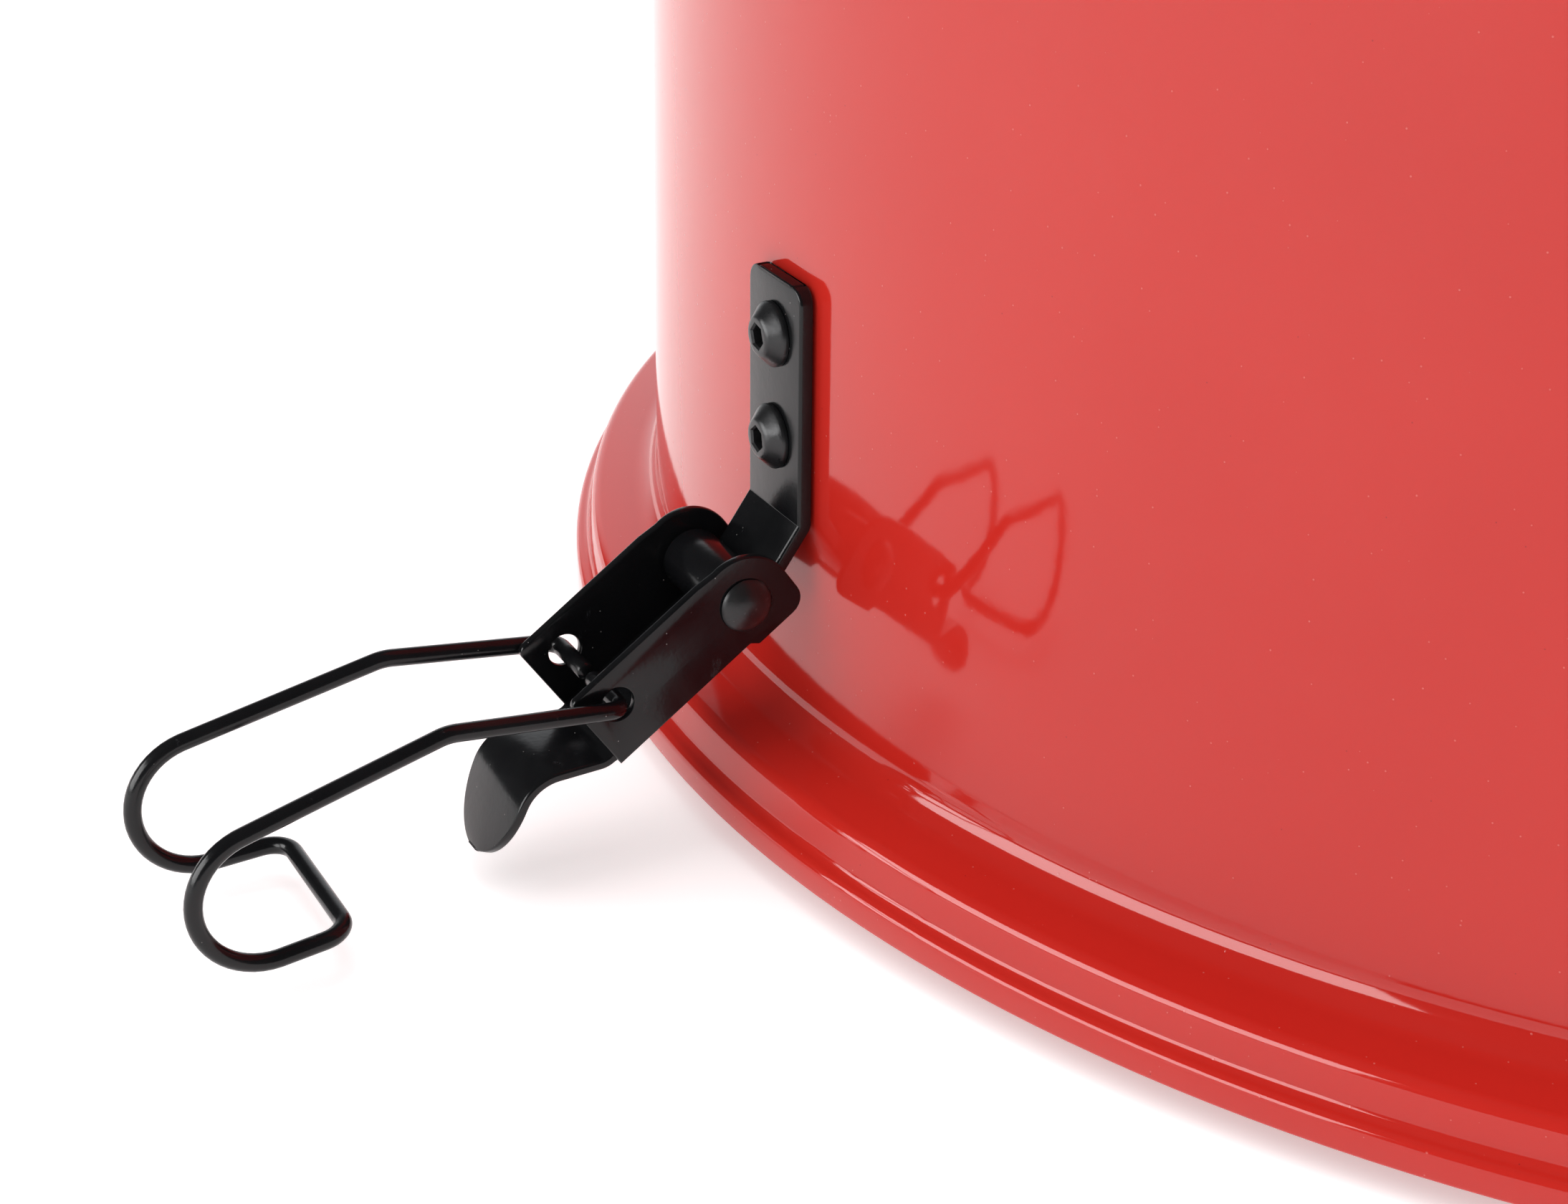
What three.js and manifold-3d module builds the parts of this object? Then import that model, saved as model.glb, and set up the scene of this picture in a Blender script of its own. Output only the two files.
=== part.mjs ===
// Oily waste can: a round steel can with a stepped foot flange, a removable base pan held by
// four toggle latches, a self-closing hinged lid and two drop handles.
// Millimetres, +Z up, the origin on the can's axis at floor level, the front at -Y.

import * as THREE from 'three';
import { mergeVertices } from 'three/addons/utils/BufferGeometryUtils.js';
import Module from 'manifold-3d';

const wasm = await Module();
wasm.setup();

// ---- driving dimensions ---------------------------------------------------------------

const CAN_RADIUS = 204;
const SHEET = 1.2;
const ROUND_STEPS = 40;
const GAP = 0.3;
// How far a facet of the round wall lies inside the true circle, rounded up.
const FACET_DEPTH = 0.7;

// Heights above the floor.
const FLANGE_LEVEL = 14.5;
const RIM_TOP = 478.5;
const LID_FLAT = 480;
const LID_PANEL = 492;
const LID_SKIRT_END = 466;
const OVERALL_HEIGHT = 514;
// The can's sheet is modelled as a wall above this height and a flanged foot below it.
const FOOT_TOP = 30;
// The lid's sheet is modelled as a top inside this radius and a skirt round it.
const LID_TOP_RADIUS = CAN_RADIUS;

// The foot flange, as corners outward of the wall and above FLANGE_LEVEL, with their radii.
const FLANGE_CORNERS = [
  { out: 0, up: 2.0, radius: 5 },
  { out: 11.4, up: 0.9, radius: 2.2 },
  { out: 12.4, up: -5.2, radius: 1.6 },
  { out: 14.5, up: -5.9, radius: 1.4 },
];
const FLANGE_OUT = 14.5;
const FLANGE_LIP_END = -9.9;

const LATCHES = {
  latch_front_left: -135,
  latch_front_right: -45,
  latch_rear_right: 45,
  latch_rear_left: 135,
};
const SIDES = { handle_left: 180, handle_right: 0 };

// Latch dimensions: "out" from the wall and "up" from FLANGE_LEVEL, in the latch's radial plane.
const STRAP = { width: 15.6, thick: 2.2, top: 70.6, bend: 34.9, lean: 35, corner: 2.5 };
const PIVOT = {
  out: 12, up: 26, pinRadius: 2.1, boreRadius: 2.45, headRadius: 4, headHeight: 2.1,
};
const SCREW_HEIGHTS = { upper: 62, lower: 46.5 };
const SCREW = {
  head: 4.75, land: 2.3, height: 2.75, shank: 2.5, socket: 1.73, depth: 1.6, end: -5.5,
};
const BACKING = { half: 7, low: 38, high: 70, thick: 2 };
const HOLE_RADIUS = 2.85;
const LEVER = {
  droop: 35, inside: 8.7, outside: 10, length: 28.2, top: 7.7, bottom: -6.9, round: 7.4,
  webStart: 2.6, webFace: -5.8, webThick: 1.4,
};
const TAB = { rootRadius: 3, crest: 39.3, crestHeight: 1.7, end: 51.6, endHeight: -5.6, endRound: 8.5 };
const BAIL_HOLE = { along: 22.9, above: 2.4, radius: 2.5 };
const BAIL = {
  wire: 1.3, innerEnd: 1.5, nearHalf: 11.8, farHalf: 14.3, rise: 6.5, firstRun: 26.7, fall: 13.5,
  secondRun: 30.5, loopRadius: 10.2, lastHeading: 175, lastRun: 10.5, cornerRadius: 4,
  loopSteps: 7,
};

// The lid hinge behind the can. The bracket's plate hangs below the pin by the two drops.
const HINGE = {
  y: CAN_RADIUS + 13.5, z: 462, pinRadius: 2.5, knuckleRadius: 5, halfWidth: 15, strapThick: 2.2,
  earAt: 16.8, earThick: 2.5, earRadius: 5.8, plateHalf: 31, plateThick: 3.2, plateHeight: 30,
  plateDrop: 16.5, rivetDrop: 20, rivetAt: 24,
};
// The two rivets that hold the hinge strap to the lid.
const STRAP_RIVETS = { x: 8, y: 191 };
const HANDLE = {
  out: 8.5, z: 392, wire: 3, halfSpan: 50, drop: 42, corner: 10, endGap: 2, bore: 3.5,
  barrel: 5.5, plateThick: 3, plateHeight: 32, halfWidth: 20, rivetAt: 13, rivetRise: 15,
};
const GRIP = { y: -112, halfFoot: 56, halfBridge: 34, depth: 22, thick: 2.6, rivetAt: 46 };
const RIVET = { head: 4.5, height: 2, shank: 2.4 };
const PAN = { rimOut: 9, rimDrop: 1.9, floor: 11, ringInside: 20, ringOutside: 6 };

const radians = THREE.MathUtils.degToRad;

// ---- materials ------------------------------------------------------------------------

const finish = (color, roughness, metalness) =>
  new THREE.MeshStandardMaterial({ color, roughness, metalness });
const redPaint = finish(0xc8281f, 0.22, 0.1);
const blackPaint = finish(0x101012, 0.3, 0.2);
const blackScrew = finish(0x1b1b1d, 0.38, 0.6);
const zincSteel = finish(0xb4b6b8, 0.35, 0.9);
const rubber = finish(0x1a1a1a, 0.8, 0);

// ---- geometry helpers -----------------------------------------------------------------

// Merged, position-only geometry whose faces point outward.
function closed(geometry) {
  const bare = geometry.clone();
  bare.deleteAttribute('normal');
  bare.deleteAttribute('uv');
  const merged = mergeVertices(bare, 1e-3);
  const p = merged.attributes.position;
  const index = [];
  const old = merged.index.array;
  for (let i = 0; i < old.length; i += 3) {
    const [a, b, c] = [old[i], old[i + 1], old[i + 2]];
    if (a !== b && b !== c && c !== a) index.push(a, b, c);
  }
  let volume = 0;
  const corner = (i) => new THREE.Vector3().fromBufferAttribute(p, i);
  for (let i = 0; i < index.length; i += 3) {
    volume += corner(index[i]).dot(corner(index[i + 1]).cross(corner(index[i + 2])));
  }
  if (volume < 0) index.reverse();
  merged.setIndex(index);
  return merged;
}

function toSolid(geometry) {
  const mesh = closed(geometry);
  return new wasm.Manifold(new wasm.Mesh({
    numProp: 3,
    vertProperties: new Float32Array(mesh.attributes.position.array),
    triVerts: new Uint32Array(mesh.index.array),
  }));
}

function toGeometry(solid) {
  const mesh = solid.getMesh();
  const geometry = new THREE.BufferGeometry();
  const positions = new Float32Array(mesh.vertProperties);
  geometry.setAttribute('position', new THREE.BufferAttribute(positions, 3));
  geometry.setIndex(new THREE.BufferAttribute(new Uint32Array(mesh.triVerts), 1));
  return geometry;
}

const union = (...parts) => toGeometry(parts.map(toSolid).reduce((a, b) => a.add(b)));
const common = (a, b) => toGeometry(toSolid(a).intersect(toSolid(b)));

function cut(base, ...tools) {
  return toGeometry(tools.map(toSolid).reduce((a, b) => a.subtract(b), toSolid(base)));
}

// A polyline whose corners are arcs: each point is [x, y, radius]; the ends have no radius.
function rounded(points, arcSteps) {
  const result = [new THREE.Vector2(points[0][0], points[0][1])];
  for (let i = 1; i < points.length - 1; i += 1) {
    const corner = new THREE.Vector2(points[i][0], points[i][1]);
    const before = new THREE.Vector2(points[i - 1][0], points[i - 1][1]).sub(corner).normalize();
    const after = new THREE.Vector2(points[i + 1][0], points[i + 1][1]).sub(corner).normalize();
    const half = Math.acos(THREE.MathUtils.clamp(before.dot(after), -1, 1)) / 2;
    const radius = points[i][2];
    const middle = before.clone().add(after).normalize();
    const centre = middle.multiplyScalar(radius / Math.sin(half)).add(corner);
    const start = before.clone().multiplyScalar(radius / Math.tan(half)).add(corner).sub(centre);
    const turn = Math.sign(before.cross(after)) * (Math.PI - 2 * half);
    for (let k = 0; k <= arcSteps; k += 1) {
      const angle = -turn * (k / arcSteps);
      result.push(start.clone().rotateAround(new THREE.Vector2(), angle).add(centre));
    }
  }
  const last = points[points.length - 1];
  result.push(new THREE.Vector2(last[0], last[1]));
  return result;
}

// The line's points moved sideways by a distance, to the right of its direction.
function offset(line, distance) {
  return line.map((point, i) => {
    const before = i > 0 ? point.clone().sub(line[i - 1]).normalize() : null;
    const after = i < line.length - 1 ? line[i + 1].clone().sub(point).normalize() : null;
    const one = before ?? after;
    const two = after ?? before;
    const along = one.clone().add(two).normalize();
    const miter = distance / Math.max(0.4, along.dot(one));
    return new THREE.Vector2(along.y, -along.x).multiplyScalar(miter).add(point);
  });
}

// A closed outline: the line, and the same line a sheet's thickness to its right.
const sheet = (line, thick) => [...line, ...offset(line, thick).reverse()];

// A closed (radius, height) outline turned about the Z axis.
function turned(outline, steps = ROUND_STEPS) {
  const geometry = new THREE.LatheGeometry([...outline, outline[0]], steps);
  return geometry.rotateX(Math.PI / 2);
}

// An outline in the XZ plane, given thickness along Y, centred on y = 0.
function across(outline, width, holes = []) {
  const shape = new THREE.Shape(outline);
  shape.holes = holes;
  const geometry = new THREE.ExtrudeGeometry(shape, { depth: width, bevelEnabled: false });
  return geometry.rotateX(Math.PI / 2).translate(0, width / 2, 0);
}

// The corners of a regular polygon that stands for a circle.
function disc(x, y, radius, steps = 10) {
  return Array.from({ length: steps }, (_, k) => {
    const angle = 2 * Math.PI * (k / steps);
    return new THREE.Vector2(x + radius * Math.cos(angle), y + radius * Math.sin(angle));
  });
}
const holePath = (x, y, radius) => new THREE.Path(disc(x, y, radius));

function rod(radius, length, axis, steps = 12) {
  const geometry = new THREE.CylinderGeometry(radius, radius, length, steps);
  if (axis === 'x') geometry.rotateZ(-Math.PI / 2);
  if (axis === 'z') geometry.rotateX(Math.PI / 2);
  return geometry;
}

// A curve that runs straight from each given point to the next, one ring at each point.
class WirePath extends THREE.Curve {
  constructor(points) {
    super();
    this.points = points;
  }

  getPoint(t, target = new THREE.Vector3()) {
    const place = t * (this.points.length - 1);
    const i = Math.min(Math.floor(place), this.points.length - 2);
    return target.lerpVectors(this.points[i], this.points[i + 1], place - i);
  }

  getPointAt(t, target) {
    return this.getPoint(t, target);
  }

  getTangentAt(t, target = new THREE.Vector3()) {
    const last = this.points.length - 1;
    const i = Math.round(t * last);
    const into = this.points[i].clone().sub(this.points[Math.max(i - 1, 0)]).normalize();
    const out = this.points[Math.min(i + 1, last)].clone().sub(this.points[i]).normalize();
    return target.copy(into.add(out).normalize());
  }
}

function wire(points, radius, sides) {
  const path = new WirePath(points);
  return new THREE.ExtrudeGeometry(new THREE.Shape(disc(0, 0, radius, sides)), {
    steps: points.length - 1, extrudePath: path, bevelEnabled: false,
  });
}

// A 3-D polyline with arcs at its corners: each entry is { at: Vector3, radius }.
function roundedWire(corners, arcSteps = 2) {
  const points = [corners[0].at];
  for (let i = 1; i < corners.length - 1; i += 1) {
    const { at, radius } = corners[i];
    const before = corners[i - 1].at.clone().sub(at).normalize();
    const after = corners[i + 1].at.clone().sub(at).normalize();
    const half = before.angleTo(after) / 2;
    const middle = before.clone().add(after).normalize();
    const centre = middle.clone().multiplyScalar(radius / Math.sin(half)).add(at);
    const first = before.clone().multiplyScalar(radius / Math.tan(half)).add(at).sub(centre);
    const axis = after.clone().cross(before).normalize();
    for (let k = 0; k <= arcSteps; k += 1) {
      const angle = (Math.PI - 2 * half) * (k / arcSteps);
      points.push(first.clone().applyAxisAngle(axis, angle).add(centre));
    }
  }
  points.push(corners[corners.length - 1].at);
  return points;
}

function addMesh(parent, name, geometry, material) {
  const mesh = new THREE.Mesh(closed(geometry), material);
  mesh.name = name;
  parent.add(mesh);
  return mesh;
}

// A group on the can's wall: its x points outward from the wall, its y along the wall, its z up.
function wallGroup(parent, degrees, height) {
  const group = new THREE.Group();
  group.rotation.z = radians(degrees);
  group.position.set(
    CAN_RADIUS * Math.cos(radians(degrees)), CAN_RADIUS * Math.sin(radians(degrees)), height,
  );
  parent.add(group);
  return group;
}

// A tool that drills a hole through the wall, in the can's frame.
function wallDrill(degrees, along, height) {
  const drill = rod(HOLE_RADIUS, 20, 'x', 8);
  return drill.translate(CAN_RADIUS, along, height).rotateZ(radians(degrees));
}

// A cylinder as large as the can, in a wall group's frame, for shaping what lies on the wall.
const wallCutter = () => rod(CAN_RADIUS + GAP, 400, 'z', 160).translate(-CAN_RADIUS, 0, 0);

// ---- shells ---------------------------------------------------------------------------

const wallHoles = [
  ...Object.values(LATCHES).flatMap((degrees) => Object.values(SCREW_HEIGHTS).map(
    (up) => wallDrill(degrees, 0, FLANGE_LEVEL + up),
  )),
  ...Object.values(SIDES).flatMap((degrees) => [-HANDLE.rivetAt, HANDLE.rivetAt].map(
    (along) => wallDrill(degrees, along, HANDLE.z + HANDLE.rivetRise),
  )),
  ...[-HINGE.rivetAt, HINGE.rivetAt].map(
    (along) => wallDrill(90, along, HINGE.z - HINGE.rivetDrop),
  ),
];

// The plain round wall with a bead rolled outward at its rim.
function canWall() {
  const bottom = FOOT_TOP + GAP;
  const beadOut = CAN_RADIUS + 3;
  const outline = [
    [CAN_RADIUS - SHEET, bottom], [CAN_RADIUS, bottom], [CAN_RADIUS, RIM_TOP - 9],
    [CAN_RADIUS + 1.6, RIM_TOP - 7], [beadOut, RIM_TOP - 5], [beadOut, RIM_TOP - 2.2],
    [CAN_RADIUS + 2, RIM_TOP - 0.6], [CAN_RADIUS, RIM_TOP], [CAN_RADIUS - SHEET, RIM_TOP],
  ].map(([x, y]) => new THREE.Vector2(x, y));
  return cut(turned(outline), ...wallHoles);
}

// The fillet, the stepped flange and its lip.
function canFoot() {
  const corners = FLANGE_CORNERS.map(
    ({ out, up, radius }) => [CAN_RADIUS + out, FLANGE_LEVEL + up, radius],
  );
  const outer = rounded([
    [CAN_RADIUS, FOOT_TOP, 0],
    ...corners,
    [CAN_RADIUS + FLANGE_OUT, FLANGE_LEVEL + FLANGE_LIP_END, 0],
  ], 2);
  return turned(sheet(outer, SHEET));
}

// The pan's rim lies under the flange; its floor is raised inside a standing ring.
function basePan() {
  const [outside, inside] = [CAN_RADIUS - PAN.ringOutside, CAN_RADIUS - PAN.ringInside];
  const top = rounded([
    [CAN_RADIUS + PAN.rimOut, FLANGE_LEVEL - PAN.rimDrop, 0],
    [outside + 2, FLANGE_LEVEL - PAN.rimDrop, 2],
    [outside, SHEET, 2],
    [inside, SHEET, 2],
    [inside - 4, PAN.floor, 2],
    [CAN_RADIUS / 2, PAN.floor, 0],
  ], 1);
  const under = offset(top, -SHEET);
  const axisTop = new THREE.Vector2(0, PAN.floor);
  const axisUnder = new THREE.Vector2(0, PAN.floor - SHEET);
  return turned([...top, axisTop, axisUnder, ...under.reverse()]);
}

function baseGasket() {
  const [inside, outside] = [CAN_RADIUS + 4.6, CAN_RADIUS + 8.8];
  const [low, high] = [FLANGE_LEVEL - PAN.rimDrop + GAP, FLANGE_LEVEL - GAP - 0.1];
  return turned([[inside, low], [outside, low], [outside, high], [inside, high]].map(
    ([x, y]) => new THREE.Vector2(x, y),
  ));
}

// The flat top with its raised panel, drilled for the hinge strap and the grip.
function lidTop() {
  const top = rounded([
    [CAN_RADIUS / 2, LID_PANEL, 0],
    [162, LID_PANEL, 5],
    [176, LID_FLAT, 5],
    [LID_TOP_RADIUS, LID_FLAT, 0],
  ], 2);
  const under = offset(top, SHEET);
  const axisTop = new THREE.Vector2(0, LID_PANEL);
  const axisUnder = new THREE.Vector2(0, LID_PANEL - SHEET);
  const shell = turned([axisTop, ...top, ...under.reverse(), axisUnder]);
  const drill = (x, y) => rod(HOLE_RADIUS, 60, 'z', 8).translate(x, y, LID_FLAT);
  return cut(
    shell,
    ...[-1, 1].map((side) => drill(side * STRAP_RIVETS.x, STRAP_RIVETS.y)),
    ...[-1, 1].map((side) => drill(side * GRIP.rivetAt, GRIP.y)),
  );
}

// The lid's rounded edge and the skirt that hangs outside the can's rim.
function lidSkirt() {
  const skirt = CAN_RADIUS + 5.9;
  const line = rounded([
    [LID_TOP_RADIUS + GAP, LID_FLAT, 0],
    [skirt, LID_FLAT, 3.5],
    [skirt, LID_SKIRT_END, 0],
  ], 2);
  return turned(sheet(line, SHEET));
}

// ---- fasteners ------------------------------------------------------------------------

// A domed rivet along x: its head's flat underside at x = 0, its shank to the given depth.
function rivet(depth) {
  const outline = [
    [0, RIVET.height], [2, RIVET.height * 0.9], [3.6, RIVET.height * 0.55], [RIVET.head, 0],
    [RIVET.shank, 0], [RIVET.shank, -depth], [0, -depth],
  ].map(([x, y]) => new THREE.Vector2(x, y));
  return turned(outline, 10).rotateY(Math.PI / 2);
}

// A button-head socket screw along x: its head's underside at x = 0.
function buttonScrew(end) {
  const outline = [
    [0, SCREW.height], [SCREW.land, SCREW.height], [3.9, 1.5], [SCREW.head, 0.5], [SCREW.head, 0],
    [SCREW.shank, 0], [SCREW.shank, end], [0, end],
  ].map(([x, y]) => new THREE.Vector2(x, y));
  const socket = rod(SCREW.socket, SCREW.depth * 2, 'x', 6).translate(SCREW.height, 0, 0);
  return cut(turned(outline, 14).rotateY(Math.PI / 2), socket);
}

// ---- toggle latch ---------------------------------------------------------------------

// The strap: a drilled vertical plate, bent outward at its foot and rolled round the pivot pin.
function latchStrap() {
  const half = STRAP.width / 2;
  const face = new THREE.Shape(rounded([
    [0, STRAP.top, 0], [half, STRAP.top, STRAP.corner], [half, STRAP.bend, 0],
  ], 3).concat(rounded([
    [-half, STRAP.bend, 0], [-half, STRAP.top, STRAP.corner], [0, STRAP.top, 0],
  ], 3).slice(0, -1)));
  face.holes = Object.values(SCREW_HEIGHTS).map((up) => holePath(0, up, HOLE_RADIUS));
  const plate = new THREE.ExtrudeGeometry(face, { depth: STRAP.thick, bevelEnabled: false })
    .rotateX(Math.PI / 2).rotateZ(Math.PI / 2).translate(GAP, 0, 0);

  const middle = GAP + STRAP.thick / 2;
  const roll = PIVOT.boreRadius + STRAP.thick / 2;
  const start = 180 + STRAP.lean;
  const curl = [];
  for (let k = 0; k <= 12; k += 1) {
    const angle = radians(start + 292 * (k / 12));
    curl.push(new THREE.Vector2(PIVOT.out + roll * Math.cos(angle), PIVOT.up + roll * Math.sin(angle)));
  }
  const leg = [new THREE.Vector2(middle, STRAP.bend + 3), new THREE.Vector2(middle, STRAP.bend), ...curl];
  const left = offset(leg, -STRAP.thick / 2);
  const right = offset(leg, STRAP.thick / 2);
  return union(plate, across([...left, ...right.reverse()], STRAP.width));
}

// The lever, in its own frame: x along the channel from the pivot, y across, z square to the web.
function latchLever() {
  const edge = rounded([
    [LEVER.length, LEVER.webFace, 0], [LEVER.length, LEVER.top, 1], [0, LEVER.top, 0],
  ], 2);
  for (let degrees = 100; degrees <= 180; degrees += 16) {
    const angle = radians(degrees);
    edge.push(new THREE.Vector2(LEVER.round * Math.cos(angle), LEVER.round * Math.sin(angle)));
  }
  const heel = rounded([
    [-LEVER.round, -1, 0], [-LEVER.round, LEVER.bottom, 2.8], [LEVER.webStart - 0.6, LEVER.bottom, 0],
  ], 3);
  const outline = [...edge, ...heel, new THREE.Vector2(LEVER.webStart, LEVER.webFace)];
  const holes = [
    holePath(0, 0, PIVOT.pinRadius + GAP),
    holePath(BAIL_HOLE.along, BAIL_HOLE.above, BAIL_HOLE.radius),
  ];
  const plateThick = LEVER.outside - LEVER.inside;
  const side = (sign) => across(outline, plateThick, holes)
    .translate(0, sign * (LEVER.inside + plateThick / 2), 0);

  const floor = LEVER.webFace + LEVER.webThick;
  const tabLine = rounded([
    [LEVER.webStart, floor, 0], [LEVER.length + 1.2, floor, TAB.rootRadius],
    [TAB.crest, TAB.crestHeight, 6], [TAB.end, TAB.endHeight, 0],
  ], 3);
  const web = across(sheet(tabLine, LEVER.webThick), 2 * LEVER.inside + plateThick);
  const plan = new THREE.Shape();
  plan.moveTo(0, -LEVER.outside);
  plan.lineTo(LEVER.length, -LEVER.outside);
  plan.lineTo(LEVER.length + 1, -LEVER.inside);
  const roundAt = TAB.end - TAB.endRound;
  plan.lineTo(roundAt, -LEVER.inside);
  plan.absellipse(roundAt, 0, TAB.endRound, LEVER.inside, -Math.PI / 2, Math.PI / 2);
  plan.lineTo(LEVER.length + 1, LEVER.inside);
  plan.lineTo(LEVER.length, LEVER.outside);
  plan.lineTo(0, LEVER.outside);
  const height = 60;
  const trim = new THREE.ExtrudeGeometry(plan, { depth: height, bevelEnabled: false, curveSegments: 6 })
    .translate(0, 0, -height / 2);
  return union(side(1), side(-1), common(web, trim));
}

function pivotPin() {
  const seat = LEVER.outside + GAP;
  const head = [[PIVOT.headRadius, seat], [3.2, seat + 1.3], [0, seat + PIVOT.headHeight]];
  const upper = [[PIVOT.pinRadius, 0], [PIVOT.pinRadius, seat], ...head];
  const lower = [...upper].reverse().map(([x, y]) => [x, -y]);
  const outline = [...lower.slice(0, -1), ...upper].map(([x, y]) => new THREE.Vector2(x, y));
  return turned(outline, 10).rotateX(Math.PI / 2);
}

// One side of the bail, from its end inside the channel to its corner at the crossbar: the
// corners of its straight run, the points of its loop and the corner before the crossbar.
function bailSide(sign) {
  const heading = (degrees, length) => new THREE.Vector2(
    Math.cos(radians(degrees)), Math.sin(radians(degrees)),
  ).multiplyScalar(length);
  const place = (flat, half) => new THREE.Vector3(flat.x, sign * half, flat.y);
  const bend = heading(BAIL.rise, BAIL.firstRun);
  const loopStart = bend.clone().add(heading(-BAIL.fall, BAIL.secondRun));
  const centre = loopStart.clone().add(heading(-BAIL.fall - 90, BAIL.loopRadius));
  const sweep = BAIL.lastHeading - 360 + BAIL.fall;
  const loop = [];
  for (let k = 1; k <= BAIL.loopSteps; k += 1) {
    const angle = 90 - BAIL.fall + sweep * (k / BAIL.loopSteps);
    loop.push(heading(angle, BAIL.loopRadius).add(centre));
  }
  const end = loop[loop.length - 1].clone().add(heading(BAIL.lastHeading, BAIL.lastRun));
  return {
    root: [
      { at: new THREE.Vector3(0, sign * BAIL.innerEnd, 0), radius: 0 },
      { at: new THREE.Vector3(0, sign * BAIL.nearHalf, 0), radius: 2.2 },
      { at: place(bend, BAIL.nearHalf + 0.8), radius: 8 },
      { at: place(loopStart, BAIL.farHalf), radius: 0 },
    ],
    loop: loop.map((point) => place(point, BAIL.farHalf)),
    corner: place(end, BAIL.farHalf - 0.6),
  };
}

function latchBail() {
  const [near, far] = [bailSide(1), bailSide(-1)];
  const nearRoot = roundedWire(near.root);
  const farRoot = roundedWire(far.root);
  const bar = roundedWire([
    { at: near.loop[near.loop.length - 1], radius: 0 },
    { at: near.corner, radius: BAIL.cornerRadius },
    { at: far.corner, radius: BAIL.cornerRadius },
    { at: far.loop[far.loop.length - 1], radius: 0 },
  ]);
  const points = [
    ...nearRoot, ...near.loop, ...bar.slice(1, -1), ...[...far.loop].reverse(), ...farRoot.reverse(),
  ];
  return wire(points, BAIL.wire, 7);
}

// The plate inside the can that the strap's screws are tightened against.
function backingPlate() {
  const { half, low, high, thick } = BACKING;
  const shape = new THREE.Shape([[-half, low], [half, low], [half, high], [-half, high]].map(
    ([x, y]) => new THREE.Vector2(x, y),
  ));
  shape.holes = Object.values(SCREW_HEIGHTS).map((up) => holePath(0, up, HOLE_RADIUS));
  return new THREE.ExtrudeGeometry(shape, { depth: thick, bevelEnabled: false })
    .rotateX(Math.PI / 2).rotateZ(Math.PI / 2)
    .translate(-SHEET - FACET_DEPTH - GAP - thick, 0, 0);
}

function addLatch(parent, name, degrees) {
  const latch = wallGroup(parent, degrees, FLANGE_LEVEL);
  addMesh(latch, `${name}_strap`, latchStrap(), blackPaint);
  addMesh(latch, `${name}_backing_plate`, backingPlate(), zincSteel);
  const headSeat = GAP + STRAP.thick + GAP;
  for (const [place, up] of Object.entries(SCREW_HEIGHTS)) {
    const shape = buttonScrew(SCREW.end - headSeat);
    addMesh(latch, `${name}_screw_${place}`, shape, blackScrew).position.set(headSeat, 0, up);
  }
  const swing = new THREE.Group();
  swing.position.set(PIVOT.out, 0, PIVOT.up);
  swing.rotation.y = radians(LEVER.droop);
  latch.add(swing);
  addMesh(swing, `${name}_lever`, latchLever(), blackPaint);
  addMesh(swing, `${name}_pivot_pin`, pivotPin(), blackScrew);
  const loop = new THREE.Group();
  loop.position.set(BAIL_HOLE.along, 0, BAIL_HOLE.above);
  loop.rotation.y = -radians(LEVER.droop);
  swing.add(loop);
  addMesh(loop, `${name}_bail`, latchBail(), blackPaint);
}

// ---- drop handles ---------------------------------------------------------------------

function handleBracket() {
  const { plateThick, plateHeight, halfWidth, rivetAt, rivetRise } = HANDLE;
  const plate = new THREE.BoxGeometry(plateThick, 2 * halfWidth, plateHeight)
    .translate(plateThick / 2 + GAP, 0, plateHeight / 2 - HANDLE.barrel);
  const barrel = rod(HANDLE.barrel, 2 * halfWidth, 'y', 20).translate(HANDLE.out, 0, 0);
  const bore = rod(HANDLE.bore, 3 * halfWidth, 'y', 16).translate(HANDLE.out, 0, 0);
  const holes = [-rivetAt, rivetAt].map(
    (along) => rod(HOLE_RADIUS, 20, 'x').translate(0, along, rivetRise),
  );
  return cut(union(plate, barrel), bore, wallCutter(), ...holes);
}

// The drop handle's wire: a rectangle whose two ends meet inside the barrel, a little apart.
function handleGrip() {
  const { halfSpan: w, drop: d, corner: radius, endGap } = HANDLE;
  const at = (y, z) => new THREE.Vector3(0, y, z);
  return wire(roundedWire([
    { at: at(endGap, 0), radius: 0 },
    { at: at(w, 0), radius },
    { at: at(w, -d), radius },
    { at: at(-w, -d), radius },
    { at: at(-w, 0), radius },
    { at: at(-endGap, 0), radius: 0 },
  ], 3), HANDLE.wire, 8);
}

function addHandle(parent, name, degrees) {
  const group = wallGroup(parent, degrees, HANDLE.z);
  addMesh(group, `${name}_bracket`, handleBracket(), blackPaint);
  const grip = addMesh(group, `${name}_grip`, handleGrip(), blackPaint);
  grip.position.x = HANDLE.out;
  const rearward = Math.cos(radians(degrees));
  for (const [place, side] of [['front', -rearward], ['rear', rearward]]) {
    const stud = addMesh(group, `${name}_rivet_${place}`, rivet(7.5), zincSteel);
    stud.position.set(HANDLE.plateThick + 2 * GAP, side * HANDLE.rivetAt, HANDLE.rivetRise);
  }
}

// ---- lid hinge and lid grip -----------------------------------------------------------

// In the YZ plane of the hinge: x of the outline is the can's y, centred on x = 0 of the can.
function alongBack(outline, width, holes = []) {
  return across(outline, width, holes).rotateZ(Math.PI / 2);
}

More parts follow.
